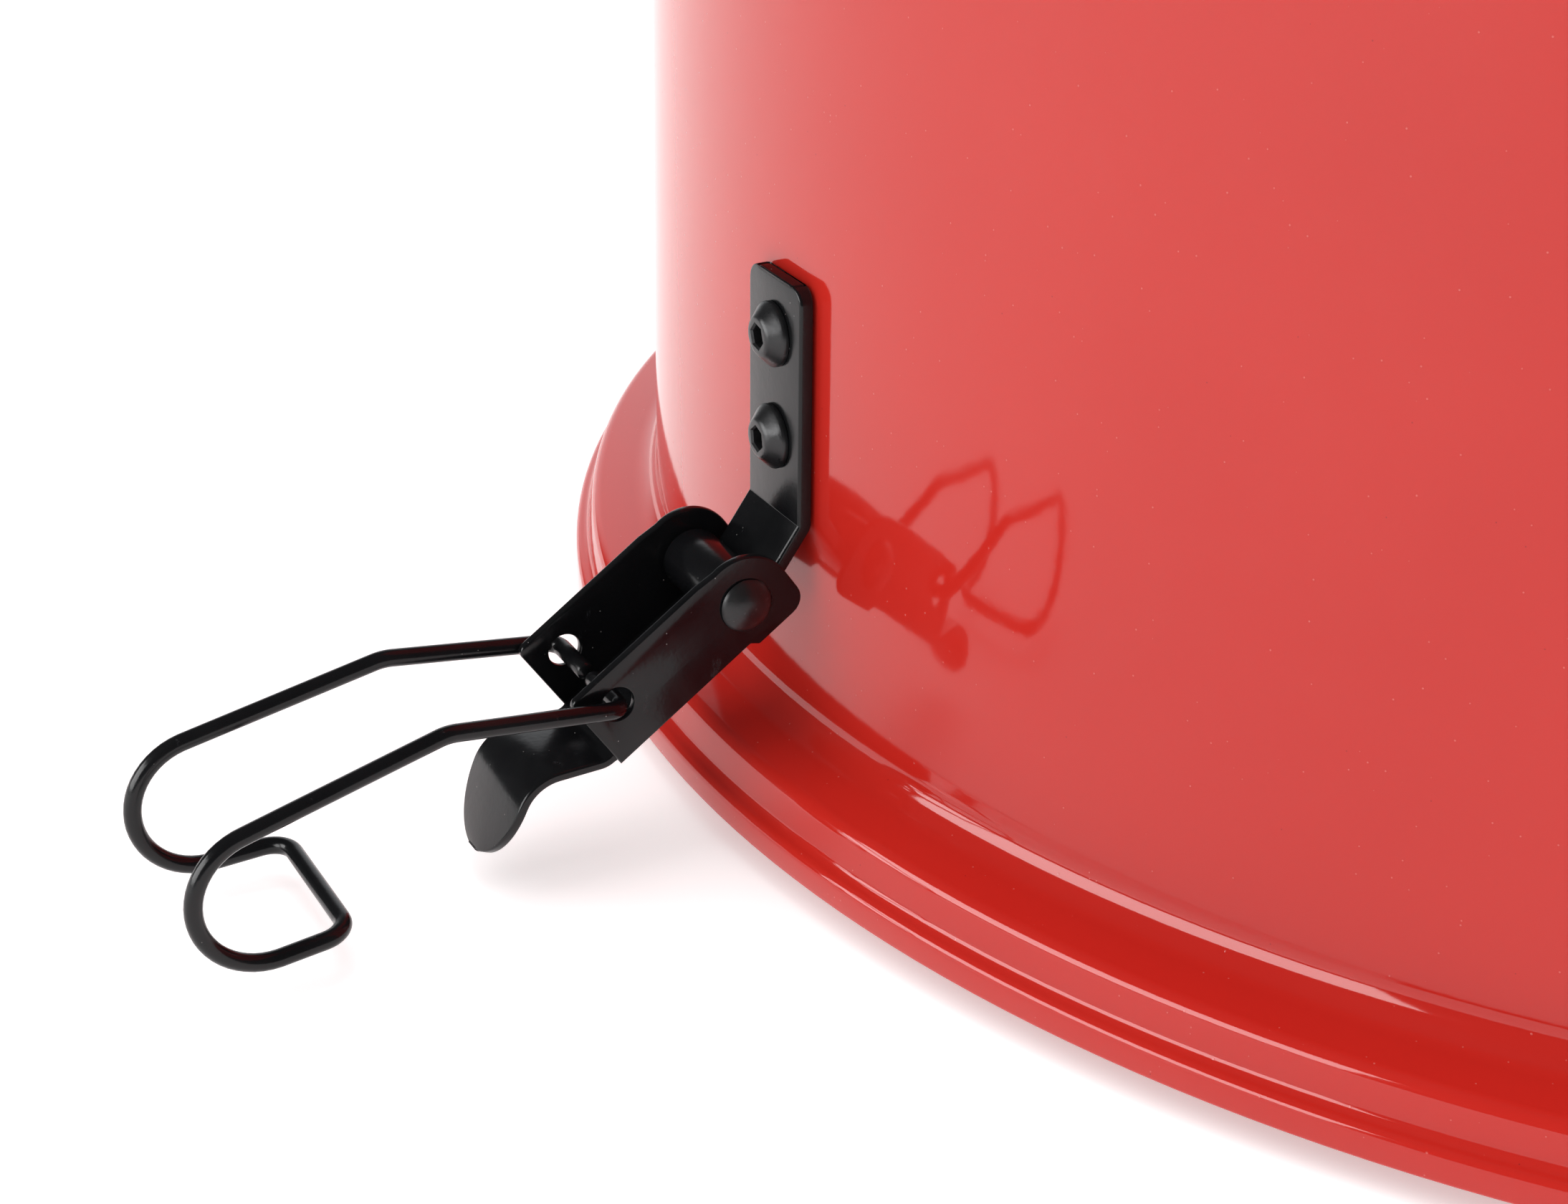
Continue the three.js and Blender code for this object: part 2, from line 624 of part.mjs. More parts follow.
function hingeBracket() {
  const back = CAN_RADIUS + GAP;
  const ear = [new THREE.Vector2(back + 1, HINGE.z - 22)];
  for (let degrees = -60; degrees <= 120; degrees += 30) {
    const angle = radians(degrees);
    ear.push(new THREE.Vector2(
      HINGE.y + HINGE.earRadius * Math.cos(angle), HINGE.z + HINGE.earRadius * Math.sin(angle),
    ));
  }
  ear.push(new THREE.Vector2(back + 1, HINGE.z - 3));
  const eye = holePath(HINGE.y, HINGE.z, HINGE.pinRadius + GAP);
  const ears = [-1, 1].map(
    (side) => alongBack(ear, HINGE.earThick, [eye]).translate(side * HINGE.earAt, 0, 0),
  );
  const sunk = 3;
  const depth = HINGE.plateThick + sunk;
  const plate = new THREE.BoxGeometry(2 * HINGE.plateHalf, depth, HINGE.plateHeight)
    .translate(0, back + HINGE.plateThick - depth / 2, HINGE.z - HINGE.plateDrop);
  const cutter = rod(back, 400, 'z', 160).translate(0, 0, HINGE.z);
  const holes = [-HINGE.rivetAt, HINGE.rivetAt].map(
    (x) => rod(HOLE_RADIUS, 40, 'y').translate(x, back, HINGE.z - HINGE.rivetDrop),
  );
  return cut(union(plate, ...ears), cutter, ...holes);
}

function lidHingeStrap() {
  const top = LID_FLAT + GAP;
  const line = rounded([
    [STRAP_RIVETS.y - 10, top, 0], [HINGE.y - 1.5, top, 4], [HINGE.y - 1.5, HINGE.z + 1, 0],
  ], 3);
  const outline = [...line, ...offset(line, -HINGE.strapThick).reverse()];
  const width = 2 * HINGE.halfWidth;
  const knuckle = rod(HINGE.knuckleRadius, width, 'x', 16).translate(0, HINGE.y, HINGE.z);
  const bore = rod(HINGE.pinRadius + 0.4, 2 * width, 'x').translate(0, HINGE.y, HINGE.z);
  const holes = [-STRAP_RIVETS.x, STRAP_RIVETS.x].map(
    (x) => rod(HOLE_RADIUS, 20, 'z').translate(x, STRAP_RIVETS.y, top),
  );
  return cut(union(alongBack(outline, width), knuckle), bore, ...holes);
}

// The pin has a head at one end; its other end stands a little out of the far ear.
function hingePin() {
  const seat = HINGE.earAt + HINGE.earThick / 2 + GAP;
  const outline = [
    [0, -seat - 2], [HINGE.pinRadius, -seat - 2], [HINGE.pinRadius, seat], [4.2, seat],
    [4.2, seat + 1.6], [2.6, seat + 2.6], [0, seat + 2.6],
  ].map(([x, y]) => new THREE.Vector2(x, y));
  return turned(outline, 12).rotateY(Math.PI / 2).translate(0, HINGE.y, HINGE.z);
}

function lidGrip() {
  const { halfFoot, halfBridge, thick } = GRIP;
  const low = LID_PANEL + GAP;
  const high = OVERALL_HEIGHT - thick;
  const line = rounded([
    [-halfFoot, low, 0], [-halfBridge - 4, low, 3], [-halfBridge, high, 5],
    [halfBridge, high, 5], [halfBridge + 4, low, 3], [halfFoot, low, 0],
  ], 3);
  const strip = across([...line, ...offset(line, -thick).reverse()], GRIP.depth);
  const holes = [-GRIP.rivetAt, GRIP.rivetAt].map((x) => rod(HOLE_RADIUS, 20, 'z').translate(x, 0, low));
  return cut(strip, ...holes).translate(0, GRIP.y, 0);
}

// A left and a right rivet through the lid, their heads up at the given seat.
function addLidRivets(parent, name, x, y, seat, depth) {
  for (const [place, side] of [['left', -1], ['right', 1]]) {
    const stud = addMesh(parent, `${name}_${place}`, rivet(depth).rotateY(-Math.PI / 2), zincSteel);
    stud.position.set(side * x, y, seat);
  }
}

// ---- assembly -------------------------------------------------------------------------

const can = new THREE.Group();
addMesh(can, 'can_wall', canWall(), redPaint);
addMesh(can, 'can_foot', canFoot(), redPaint);
addMesh(can, 'base_pan', basePan(), redPaint);
addMesh(can, 'base_gasket', baseGasket(), rubber);
addMesh(can, 'lid_top', lidTop(), redPaint);
addMesh(can, 'lid_skirt', lidSkirt(), redPaint);

addMesh(can, 'lid_hinge_bracket', hingeBracket(), blackPaint);
addMesh(can, 'lid_hinge_strap', lidHingeStrap(), blackPaint);
addMesh(can, 'lid_hinge_pin', hingePin(), zincSteel);
const backWall = wallGroup(can, 90, HINGE.z - HINGE.rivetDrop);
for (const [place, along] of [['left', HINGE.rivetAt], ['right', -HINGE.rivetAt]]) {
  const stud = addMesh(backWall, `hinge_bracket_rivet_${place}`, rivet(7), zincSteel);
  stud.position.set(HINGE.plateThick + 2 * GAP, along, 0);
}
const strapSeat = LID_FLAT + HINGE.strapThick + 2 * GAP;
addLidRivets(can, 'hinge_strap_rivet', STRAP_RIVETS.x, STRAP_RIVETS.y, strapSeat, 5);

addMesh(can, 'lid_grip', lidGrip(), blackPaint);
const gripSeat = LID_PANEL + GRIP.thick + 2 * GAP;
addLidRivets(can, 'lid_grip_rivet', GRIP.rivetAt, GRIP.y, gripSeat, 5.5);

Object.entries(SIDES).forEach(([name, degrees]) => addHandle(can, name, degrees));
Object.entries(LATCHES).forEach(([name, degrees]) => addLatch(can, name, degrees));

export default can;
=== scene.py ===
"""The looks of an oily waste can: fine sheet metal, paint and a plain studio around its frame.

Lengths of pieces are in millimetres, and become metres when a piece is made. Lengths in
materials and in the studio are in metres. A wall place is a frame whose x points out of the
can's wall, y runs along it and z points up.
"""

import math
import random

import bmesh
import bpy
from mathutils import Matrix, Vector


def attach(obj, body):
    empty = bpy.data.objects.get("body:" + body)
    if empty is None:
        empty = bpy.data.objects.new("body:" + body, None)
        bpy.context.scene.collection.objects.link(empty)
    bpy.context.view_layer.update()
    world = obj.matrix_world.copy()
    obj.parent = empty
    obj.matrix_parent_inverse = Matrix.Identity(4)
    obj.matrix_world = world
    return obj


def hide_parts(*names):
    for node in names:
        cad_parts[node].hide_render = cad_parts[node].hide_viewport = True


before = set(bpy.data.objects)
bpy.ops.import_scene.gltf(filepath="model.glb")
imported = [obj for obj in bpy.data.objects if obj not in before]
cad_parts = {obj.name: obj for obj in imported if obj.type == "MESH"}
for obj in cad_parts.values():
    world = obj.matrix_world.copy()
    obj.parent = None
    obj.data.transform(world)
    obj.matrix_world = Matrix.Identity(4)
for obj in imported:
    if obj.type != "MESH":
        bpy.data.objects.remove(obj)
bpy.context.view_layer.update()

# ---- sizes -----------------------------------------------------------------------------

MM = 0.001
GAP = 0.3
SHEET = 1.2
CAN_RADIUS = 204.0
FLANGE_LEVEL = 14.5
RIM_TOP = 478.5
RIM_BEAD = {"out": 0.2, "below": 3.2, "radius": 3.0, "edge_drop": 0.5}
FOOT_TOP = 30.0
WALL_ROWS = range(40, 470, 43)
LID_FLAT = 480.0
LID_PANEL = 492.0
LID_SKIRT_END = 466.0
LID_SKIRT_OUT = 5.9
LID_STEP = {"centre": 40, "inside": 162, "outside": 176, "corner": 5, "edge_corner": 3.5}
OVERALL_HEIGHT = 514.0
HEM_LIFT = 0.6
ROUND_STEPS = 256

# The foot flange's corners: outward of the wall, above FLANGE_LEVEL, and the corner's radius.
FLANGE_CORNERS = [(0, 2.0, 5), (11.4, 0.9, 2.2), (12.4, -5.2, 1.6), (14.5, -5.9, 1.4)]
FLANGE_OUT = 14.5
FLANGE_LIP_END = -9.9

LATCHES = {
    "latch_front_left": -135,
    "latch_front_right": -45,
    "latch_rear_right": 45,
    "latch_rear_left": 135,
}
SIDES = {"handle_left": 180, "handle_right": 0}

STRAP = {"width": 15.6, "thick": 2.2, "top": 70.6, "bend": 34.9, "lean": 35, "corner": 2.5}
STRAP_CURL = 292
PIVOT = {"out": 12, "up": 26, "bore": 2.45, "pin": 2.1, "head": 4.0, "head_height": 2.1}
SCREW_HEIGHTS = {"upper": 62, "lower": 46.5}
LEVER = {
    "droop": 35, "inside": 8.7, "outside": 10, "length": 28.2, "top": 7.7, "bottom": -6.9,
    "round": 7.4, "web_start": 2.6, "web_face": -5.8, "web_thick": 1.4,
}
TAB = {"crest": 39.3, "crest_height": 1.7, "end": 51.6, "end_height": -5.6, "end_round": 8.5}
BAIL_HOLE = {"along": 22.9, "above": 2.4, "radius": 2.5}
BACKING = {"half": 7, "low": 38, "high": 70, "corner": 2, "thick": 2.0, "at": -3.2}
BAIL = {
    "wire": 1.3, "inner_end": 1.5, "near_half": 11.8, "far_half": 14.3, "rise": 6.5,
    "first_run": 26.7, "fall": 13.5, "second_run": 30.5, "loop_radius": 10.2,
    "last_heading": 175, "last_run": 10.5, "corner": 4,
}
HINGE = {
    "y": CAN_RADIUS + 13.5, "z": 462, "pin": 2.5, "half_width": 15,
    "strap_thick": 2.2, "ear_at": 16.8, "ear_thick": 2.5, "ear_radius": 5.8,
    "plate_half": 31, "plate_thick": 2.6, "plate_height": 30, "plate_drop": 16.5,
    "rivet_drop": 20, "rivet_at": 24,
}
STRAP_RIVETS = {"x": 8, "y": 191}
HANDLE = {
    "out": 8.5, "z": 392, "wire": 3, "half_span": 50, "drop": 42, "corner": 10,
    "barrel": 5.5, "plate_thick": 2.4, "half_width": 20, "plate_height": 32,
    "rivet_at": 13, "rivet_rise": 15,
}
GRIP = {
    "y": -112, "half_foot": 56, "half_bridge": 34, "depth": 22, "thick": 2.6, "rivet_at": 46,
    "corner": 6.0,
}
PAN = {
    "rim_out": 9, "rim_drop": 1.9, "floor": 11, "ring_inside": 20, "ring_outside": 6,
    "corner": 2, "centre": 60,
}
GASKET = {"out": 6.7, "half_width": 2.1, "edge": 0.4, "slack": 0.1}
RIVET = {"dome": 4.3, "height": 1.75, "rim": 4.5, "shank": 2.4}
# How far a head or a strip on a lid lies clear of the sheet under it.
SEAT = 0.12

# The camera stands close to the can's front left and looks down at its foot.
CAMERA = {
    "at": (-31.5, -507.3, 219.1), "pan": 17.34, "pitch": 25.97, "roll": 0.37,
    "lens": 65.81, "sensor": 36.0,
}


# ---- curves and outlines ---------------------------------------------------------------


def at_angle(radius, degrees):
    """A 2-D point at a radius and an angle."""
    angle = math.radians(degrees)
    return Vector((radius * math.cos(angle), radius * math.sin(angle)))


def arc(centre, radius, start, end, steps):
    """Points on an arc between two angles in degrees."""
    centre = Vector(centre)
    return [
        centre + at_angle(radius, start + (end - start) * k / steps) for k in range(steps + 1)
    ]


def circle(centre, radius, steps=40):
    """Points round a whole circle."""
    return arc(centre, radius, 0, 360, steps)[:-1]


def rounded(corners, steps=8):
    """A polyline, 2-D or 3-D, whose inner corners (point, radius) become arcs."""
    places = [Vector(point) for point, _ in corners]
    line = [places[0]]
    for i in range(1, len(places) - 1):
        corner = places[i]
        radius = corners[i][1]
        before = (places[i - 1] - corner).normalized()
        after = (places[i + 1] - corner).normalized()
        half = before.angle(after) / 2
        if radius == 0 or half > math.radians(89.5):
            line.append(corner)
            continue
        middle = (before + after).normalized()
        centre = corner + middle * (radius / math.sin(half))
        first = corner + before * (radius / math.tan(half)) - centre
        last = corner + after * (radius / math.tan(half)) - centre
        turn = math.pi - 2 * half
        for k in range(steps + 1):
            share = k / steps
            one = math.sin((1 - share) * turn) / math.sin(turn)
            two = math.sin(share * turn) / math.sin(turn)
            line.append(centre + first * one + last * two)
    line.append(places[-1])
    return line


def round_rectangle(half, low, high, corner, steps):
    """A rectangle's outline with round corners, symmetric about x = 0."""
    return rounded([
        ((0, low), 0), ((half, low), corner), ((half, high), corner), ((-half, high), corner),
        ((-half, low), corner), ((0, low), 0),
    ], steps)[:-1]


def normals_of(line):
    """The direction to the left of a 2-D line at each of its points."""
    found = []
    for i, point in enumerate(line):
        ahead = line[min(i + 1, len(line) - 1)]
        behind = line[max(i - 1, 0)]
        along = (ahead - behind).normalized()
        found.append(Vector((-along.y, along.x)))
    return found


def offset(line, distance):
    """A 2-D line's points moved to its right, with corners kept at their full distance."""
    moved = []
    for i, point in enumerate(line):
        before = (point - line[i - 1]).normalized() if i > 0 else None
        after = (line[i + 1] - point).normalized() if i < len(line) - 1 else None
        one = before or after
        two = after or before
        along = (one + two).normalized()
        reach = distance / max(0.4, along.dot(one))
        moved.append(point + Vector((along.y, -along.x)) * reach)
    return moved


def resampled(line, step):
    """A polyline with extra points, so that no stretch is longer than the step."""
    points = [line[0]]
    for a, b in zip(line, line[1:]):
        parts = max(1, math.ceil((b - a).length / step))
        points.extend(a.lerp(b, k / parts) for k in range(1, parts + 1))
    return points


def eased(corner):
    """Distances from a round corner's start to its end, close together at the start."""
    return [corner * (1 - math.cos(math.radians(degrees))) for degrees in range(0, 91, 10)]


def corner_inset(corner, into):
    """How much a strip's end with round corners is narrower, so far into the corners."""
    return corner - math.sqrt(max(0.0, corner**2 - (corner - into) ** 2))


# ---- meshes ----------------------------------------------------------------------------


def wall_place(degrees, height):
    """The frame of a place on the can's wall."""
    turn = Matrix.Rotation(math.radians(degrees), 4, "Z")
    return turn @ Matrix.Translation((CAN_RADIUS, 0, height))


def face_outward(mesh):
    """Turns a closed mesh's faces to point out."""
    bmesh.ops.recalc_face_normals(mesh, faces=mesh.faces)
    if mesh.calc_volume(signed=True) < 0:
        bmesh.ops.reverse_faces(mesh, faces=mesh.faces)
    return mesh


def shell(points, faces, place=Matrix()):
    """A bmesh from points and faces, put in place, with its faces pointing out."""
    mesh = bmesh.new()
    made = [mesh.verts.new(place @ Vector(p)) for p in points]
    for face in faces:
        corners = [made[i] for i in dict.fromkeys(face)]
        if len(corners) > 2:
            mesh.faces.new(corners)
    return face_outward(mesh)


def lathe(outline, steps=ROUND_STEPS, place=Matrix(), hexagon=()):
    """A closed (radius, height) outline turned about Z. The numbered points follow a hexagon."""
    points = []
    rings = []
    for number, (radius, height) in enumerate(outline):
        if radius < 1e-6:
            rings.append([len(points)] * steps)
            points.append((0, 0, height))
            continue
        rings.append(range(len(points), len(points) + steps))
        for k in range(steps):
            angle = 2 * math.pi * k / steps
            reach = radius
            if number in hexagon:
                reach *= math.cos(math.pi / 6) / math.cos(angle % (math.pi / 3) - math.pi / 6)
            points.append((reach * math.cos(angle), reach * math.sin(angle), height))
    faces = []
    for i, ring in enumerate(rings):
        following = rings[(i + 1) % len(rings)]
        for k in range(steps):
            near = (k + 1) % steps
            faces.append((ring[k], ring[near], following[near], following[k]))
    return shell(points, faces, place)


def section(half_width, half_thick, edge, steps=4):
    """A rounded rectangle's points."""
    edge = min(edge, half_width * 0.98, half_thick * 0.98)
    corners = [(1, 1, 0), (-1, 1, 90), (-1, -1, 180), (1, -1, 270)]
    points = []
    for across, up, start in corners:
        centre = (across * (half_width - edge), up * (half_thick - edge))
        points.extend(arc(centre, edge, start, start + 90, steps))
    return points


def ribbon(line, half_widths, thick, edge, place=Matrix()):
    """A bent strip: a line in the XZ plane with a rounded section, as wide in Y as asked."""
    sides = normals_of(line)
    if isinstance(half_widths, (int, float)):
        half_widths = [half_widths] * len(line)
    stations = [(p, n, w, 0.0) for p, n, w in zip(line, sides, half_widths)]

    def rounded_end(index, inward):
        point, side, width, _ = stations[index]
        made = []
        for degrees in (0, 30, 60, 90):
            angle = math.radians(degrees)
            place_along = point + inward * edge * (1 - math.sin(angle))
            made.append((place_along, side, width, edge * (1 - math.cos(angle))))
        return made

    first = rounded_end(0, (line[1] - line[0]).normalized())
    last = rounded_end(-1, (line[-2] - line[-1]).normalized())
    stations = [*reversed(first), *stations[1:-1], *last]
    points = []
    rings = []
    for centre, side, width, inset in stations:
        flat = section(width - inset, thick / 2 - inset, edge)
        rings.append(range(len(points), len(points) + len(flat)))
        points.extend((centre.x + side.x * q.y, q.x, centre.y + side.y * q.y) for q in flat)
    faces = [tuple(rings[0]), tuple(rings[-1])]
    for ring, following in zip(rings, rings[1:]):
        count = len(ring)
        for k in range(count):
            near = (k + 1) % count
            faces.append((ring[k], ring[near], following[near], following[k]))
    return shell(points, faces, place)


def tube(line, radius, sides=20, place=Matrix()):
    """A round wire along a 3-D polyline, with domed ends."""
    tangents = []
    for i in range(len(line)):
        ahead = line[min(i + 1, len(line) - 1)]
        behind = line[max(i - 1, 0)]
        tangents.append((ahead - behind).normalized())
    across = tangents[0].orthogonal().normalized()
    rings = []
    points = []

    def add_ring(centre, along, size):
        start = len(points)
        up = along.cross(across)
        for k in range(sides):
            angle = 2 * math.pi * k / sides
            points.append(centre + (across * math.cos(angle) + up * math.sin(angle)) * size)
        rings.append(range(start, start + sides))

    def add_dome(end, outward, along, order):
        for k in order:
            angle = k * math.pi / 8
            centre = end + outward * radius * 0.5 * math.sin(angle)
            add_ring(centre, along, radius * math.cos(angle))

    add_dome(line[0], -tangents[0], tangents[0], (3, 2, 1))
    for centre, along in zip(line, tangents):
        across = (across - along * across.dot(along)).normalized()
        add_ring(centre, along, radius)
    add_dome(line[-1], tangents[-1], tangents[-1], (1, 2, 3))
    faces = [tuple(rings[0]), tuple(rings[-1])]
    for ring, following in zip(rings, rings[1:]):
        for k in range(sides):
            near = (k + 1) % sides
            faces.append((ring[k], ring[near], following[near], following[k]))
    return shell(points, faces, place)


def plate(outline, holes, thick, edge, place=Matrix()):
    """A flat plate in the XY plane, centred on z = 0, with holes and rounded edges."""
    curve = bpy.data.curves.new("plate", "CURVE")
    curve.dimensions = "2D"
    curve.fill_mode = "BOTH"
    for loop in (outline, *holes):
        spline = curve.splines.new("POLY")
        spline.points.add(len(loop) - 1)
        for point, (x, y) in zip(spline.points, loop):
            point.co = (x, y, 0, 1)
        spline.use_cyclic_u = True
    curve.extrude = thick / 2 - edge
    curve.bevel_depth = edge
    curve.bevel_resolution = 2
    curve.offset = -edge
    holder = bpy.data.objects.new("plate", curve)
    bpy.context.scene.collection.objects.link(holder)
    graph = bpy.context.evaluated_depsgraph_get()
    flat = bpy.data.meshes.new_from_object(holder.evaluated_get(graph))
    bpy.data.objects.remove(holder)
    bpy.data.curves.remove(curve)
    mesh = bmesh.new()
    mesh.from_mesh(flat)
    bpy.data.meshes.remove(flat)
    bmesh.ops.remove_doubles(mesh, verts=mesh.verts, dist=1e-4)
    mesh.transform(place)
    return face_outward(mesh)


# Turns a plate from the XY plane to XZ: its outline gives x and z, and its thickness is in Y.
UPRIGHT = Matrix.Rotation(math.radians(90), 4, "X")
# Turns a plate from the XY plane to YZ: its outline gives y and z, and its thickness is in X.
ON_WALL = Matrix.Rotation(math.radians(90), 4, "Z") @ UPRIGHT
# A lathe's axis turned from Z to X, and from Z to Y.
ALONG_X = Matrix.Rotation(math.radians(90), 4, "Y")
ALONG_Y = Matrix.Rotation(math.radians(-90), 4, "X")


def united(first, others):
    """The meshes joined by booleans into one closed body."""
    holders = []
    for mesh in (first, *others):
        data = bpy.data.meshes.new("part")
        mesh.to_mesh(data)
        mesh.free()
        holder = bpy.data.objects.new("part", data)
        bpy.context.scene.collection.objects.link(holder)
        holders.append(holder)
    base = holders[0]
    for tool in holders[1:]:
        join = base.modifiers.new("join", "BOOLEAN")
        join.operation = "UNION"
        join.solver = "MANIFOLD"
        join.object = tool
    graph = bpy.context.evaluated_depsgraph_get()
    result = bpy.data.meshes.new_from_object(base.evaluated_get(graph))
    mesh = bmesh.new()
    mesh.from_mesh(result)
    bpy.data.meshes.remove(result)
    for holder in holders:
        bpy.data.objects.remove(holder)
    return mesh


def wrapped(mesh, fade_from=None, fade_to=None):
    """Bends a mesh in a wall place round the can's wall. Below fade_from it stays straight."""
    for vert in mesh.verts:
        out, along, up = vert.co
        weight = 1.0
        if fade_from is not None:
            weight = min(1.0, max(0.0, (up - fade_from) / (fade_to - fade_from)))
        angle = along / CAN_RADIUS
        reach = CAN_RADIUS + out
        bent = Vector((reach * math.cos(angle) - CAN_RADIUS, reach * math.sin(angle), up))
        vert.co = vert.co.lerp(bent, weight)
    return mesh


def piece(name, mesh, body, material, replaces=(), place=Matrix(), sharp=35):
    """A finished piece that rides on a body and stands for the CAD nodes it replaces."""
    mesh.transform(Matrix.Scale(MM, 4) @ place)
    data = bpy.data.meshes.new(name)
    mesh.to_mesh(data)
    mesh.free()
    data.shade_smooth()
    data.set_sharp_from_angle(angle=math.radians(sharp))
    data.materials.append(material)
    made = bpy.data.objects.new(name, data)
    bpy.context.scene.collection.objects.link(made)
    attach(made, body)
    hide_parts(*replaces)
    return made


# ---- materials -------------------------------------------------------------------------


# Most of a noise texture's values lie in this span.
NOISE_SPAN = (0.3, 0.7)


def set_range(node, start, end, low, high):
    """Sets a map range node to turn start into low and end into high."""
    names = ("From Min", "From Max", "To Min", "To Max")
    for name, given in zip(names, (start, end, low, high)):
        node.inputs[name].default_value = given


class Nodes:
    """A material's node tree, with one short call for each node."""

    def __init__(self, name):
        self.material = bpy.data.materials.new(name)
        self.material.use_nodes = True
        self.tree = self.material.node_tree
        self.shader = self.tree.nodes["Principled BSDF"]
        self.coords = self.tree.nodes.new("ShaderNodeTexCoord").outputs["Object"]

    def put(self, socket, value):
        """Links a socket's output, or sets a plain value."""
        if isinstance(value, bpy.types.NodeSocket):
            self.tree.links.new(value, socket)
        else:
            socket.default_value = value

    def math(self, operation, a, b=0.0):
        node = self.tree.nodes.new("ShaderNodeMath")
        node.operation = operation
        for socket, value in zip(node.inputs, (a, b)):
            self.put(socket, value)
        return node.outputs[0]

    def noise(self, scale, detail=3.0, roughness=0.55, stretch=None):
        node = self.tree.nodes.new("ShaderNodeTexNoise")
        node.inputs["Scale"].default_value = scale
        node.inputs["Detail"].default_value = detail
        node.inputs["Roughness"].default_value = roughness
        source = self.coords
        if stretch:
            mapping = self.tree.nodes.new("ShaderNodeMapping")
            mapping.inputs["Scale"].default_value = stretch
            self.put(mapping.inputs["Vector"], self.coords)
            source = mapping.outputs[0]
        self.put(node.inputs["Vector"], source)
        return node.outputs["Fac"]

    def specks(self, scale, size, share):
        """A mask of small round specks: scale per metre, size in metres, share of cells."""
        node = self.tree.nodes.new("ShaderNodeTexVoronoi")
        node.inputs["Scale"].default_value = scale
        self.put(node.inputs["Vector"], self.coords)
        near = self.ramp(node.outputs["Distance"], size * scale, size * scale * 0.5)
        chosen = self.tree.nodes.new("ShaderNodeSeparateColor")
        self.put(chosen.inputs[0], node.outputs["Color"])
        return self.math("MULTIPLY", near, self.math("LESS_THAN", chosen.outputs[0], share))

    def ramp(self, value, start, end):
        """From 0 at the start to 1 at the end, smoothly."""
        node = self.tree.nodes.new("ShaderNodeMapRange")
        node.interpolation_type = "SMOOTHSTEP"
        set_range(node, start, end, 0, 1)
        self.put(node.inputs["Value"], value)
        return node.outputs["Result"]

    def between(self, value, low, high):
        """A noise's usual values spread from low to high."""
        node = self.tree.nodes.new("ShaderNodeMapRange")
        set_range(node, *NOISE_SPAN, low, high)
        self.put(node.inputs["Value"], value)
        return node.outputs["Result"]

    def mix(self, share, one, two):
        node = self.tree.nodes.new("ShaderNodeMix")
        node.data_type = "RGBA"
        self.put(node.inputs["Factor"], share)
        for socket, value in ((node.inputs["A"], one), (node.inputs["B"], two)):
            self.put(socket, (*value, 1) if isinstance(value, tuple) else value)
        return node.outputs["Result"]

    def bump(self, height, distance, strength=1.0, below=None):
        node = self.tree.nodes.new("ShaderNodeBump")
        node.inputs["Strength"].default_value = strength
        node.inputs["Distance"].default_value = distance
        self.put(node.inputs["Height"], height)
        if below is not None:
            self.put(node.inputs["Normal"], below)
        return node.outputs["Normal"]

    def finish(self, color, roughness, normal=None, **constants):
        self.put(self.shader.inputs["Base Color"], color)
        self.put(self.shader.inputs["Roughness"], roughness)
        if normal is not None:
            self.put(self.shader.inputs["Normal"], normal)
        for name, value in constants.items():
            self.shader.inputs[name.replace("_", " ")].default_value = value
        return self.material


def red_paint(name):
    """Gloss red enamel: faint orange peel, dust specks and soft variation of colour."""
    nodes = Nodes(name)
    shade = nodes.between(nodes.noise(9, 3), 0.0, 1.0)
    color = nodes.mix(shade, (0.520, 0.018, 0.012), (0.570, 0.024, 0.016))
    pale = nodes.specks(900, 0.00016, 0.10)
    dark = nodes.specks(560, 0.00014, 0.06)
    color = nodes.mix(nodes.math("MULTIPLY", pale, 0.3), color, (0.80, 0.30, 0.26))
    color = nodes.mix(nodes.math("MULTIPLY", dark, 0.6), color, (0.20, 0.008, 0.008))
    grain = nodes.math("MULTIPLY", nodes.noise(260, 2), 0.5)
    nibs = nodes.math("MULTIPLY", nodes.specks(900, 0.0002, 0.1), 0.6)
    peel = nodes.math("ADD", grain, nibs)
    rough = nodes.between(nodes.noise(24, 4), 0.05, 0.09)
    normal = nodes.bump(peel, 0.00006, 0.35)
    return nodes.finish(
        color, rough, normal, IOR=1.46, Coat_Weight=0.05, Coat_Roughness=0.03, Coat_IOR=1.5,
    )


def black_paint(name, gloss):
    """Black enamel on formed steel: fine grain, soft lumps, dust and scuffs."""
    nodes = Nodes(name)
    scuff = nodes.ramp(nodes.noise(320, 5, 0.7, stretch=(1, 1, 0.35)), 0.62, 0.74)
    cloud = nodes.between(nodes.noise(60, 3), 0, 1)
    color = nodes.mix(cloud, (0.0030, 0.0032, 0.0038), (0.0070, 0.0073, 0.0080))
    color = nodes.mix(nodes.math("MULTIPLY", scuff, 0.35), color, (0.03, 0.032, 0.034))
    dust = nodes.specks(1100, 0.00011, 0.07)
    color = nodes.mix(nodes.math("MULTIPLY", dust, 0.7), color, (0.32, 0.31, 0.30))
    smooth = nodes.between(nodes.noise(140, 4), gloss, gloss + 0.08)
    rough = nodes.math("ADD", smooth, nodes.math("MULTIPLY", scuff, 0.12))
    fine = nodes.bump(nodes.noise(1500, 2), 0.00003, 0.35)
    normal = nodes.bump(nodes.noise(210, 3), 0.00012, 0.35, below=fine)
    return nodes.finish(color, rough, normal, IOR=1.37, Specular_IOR_Level=0.5)


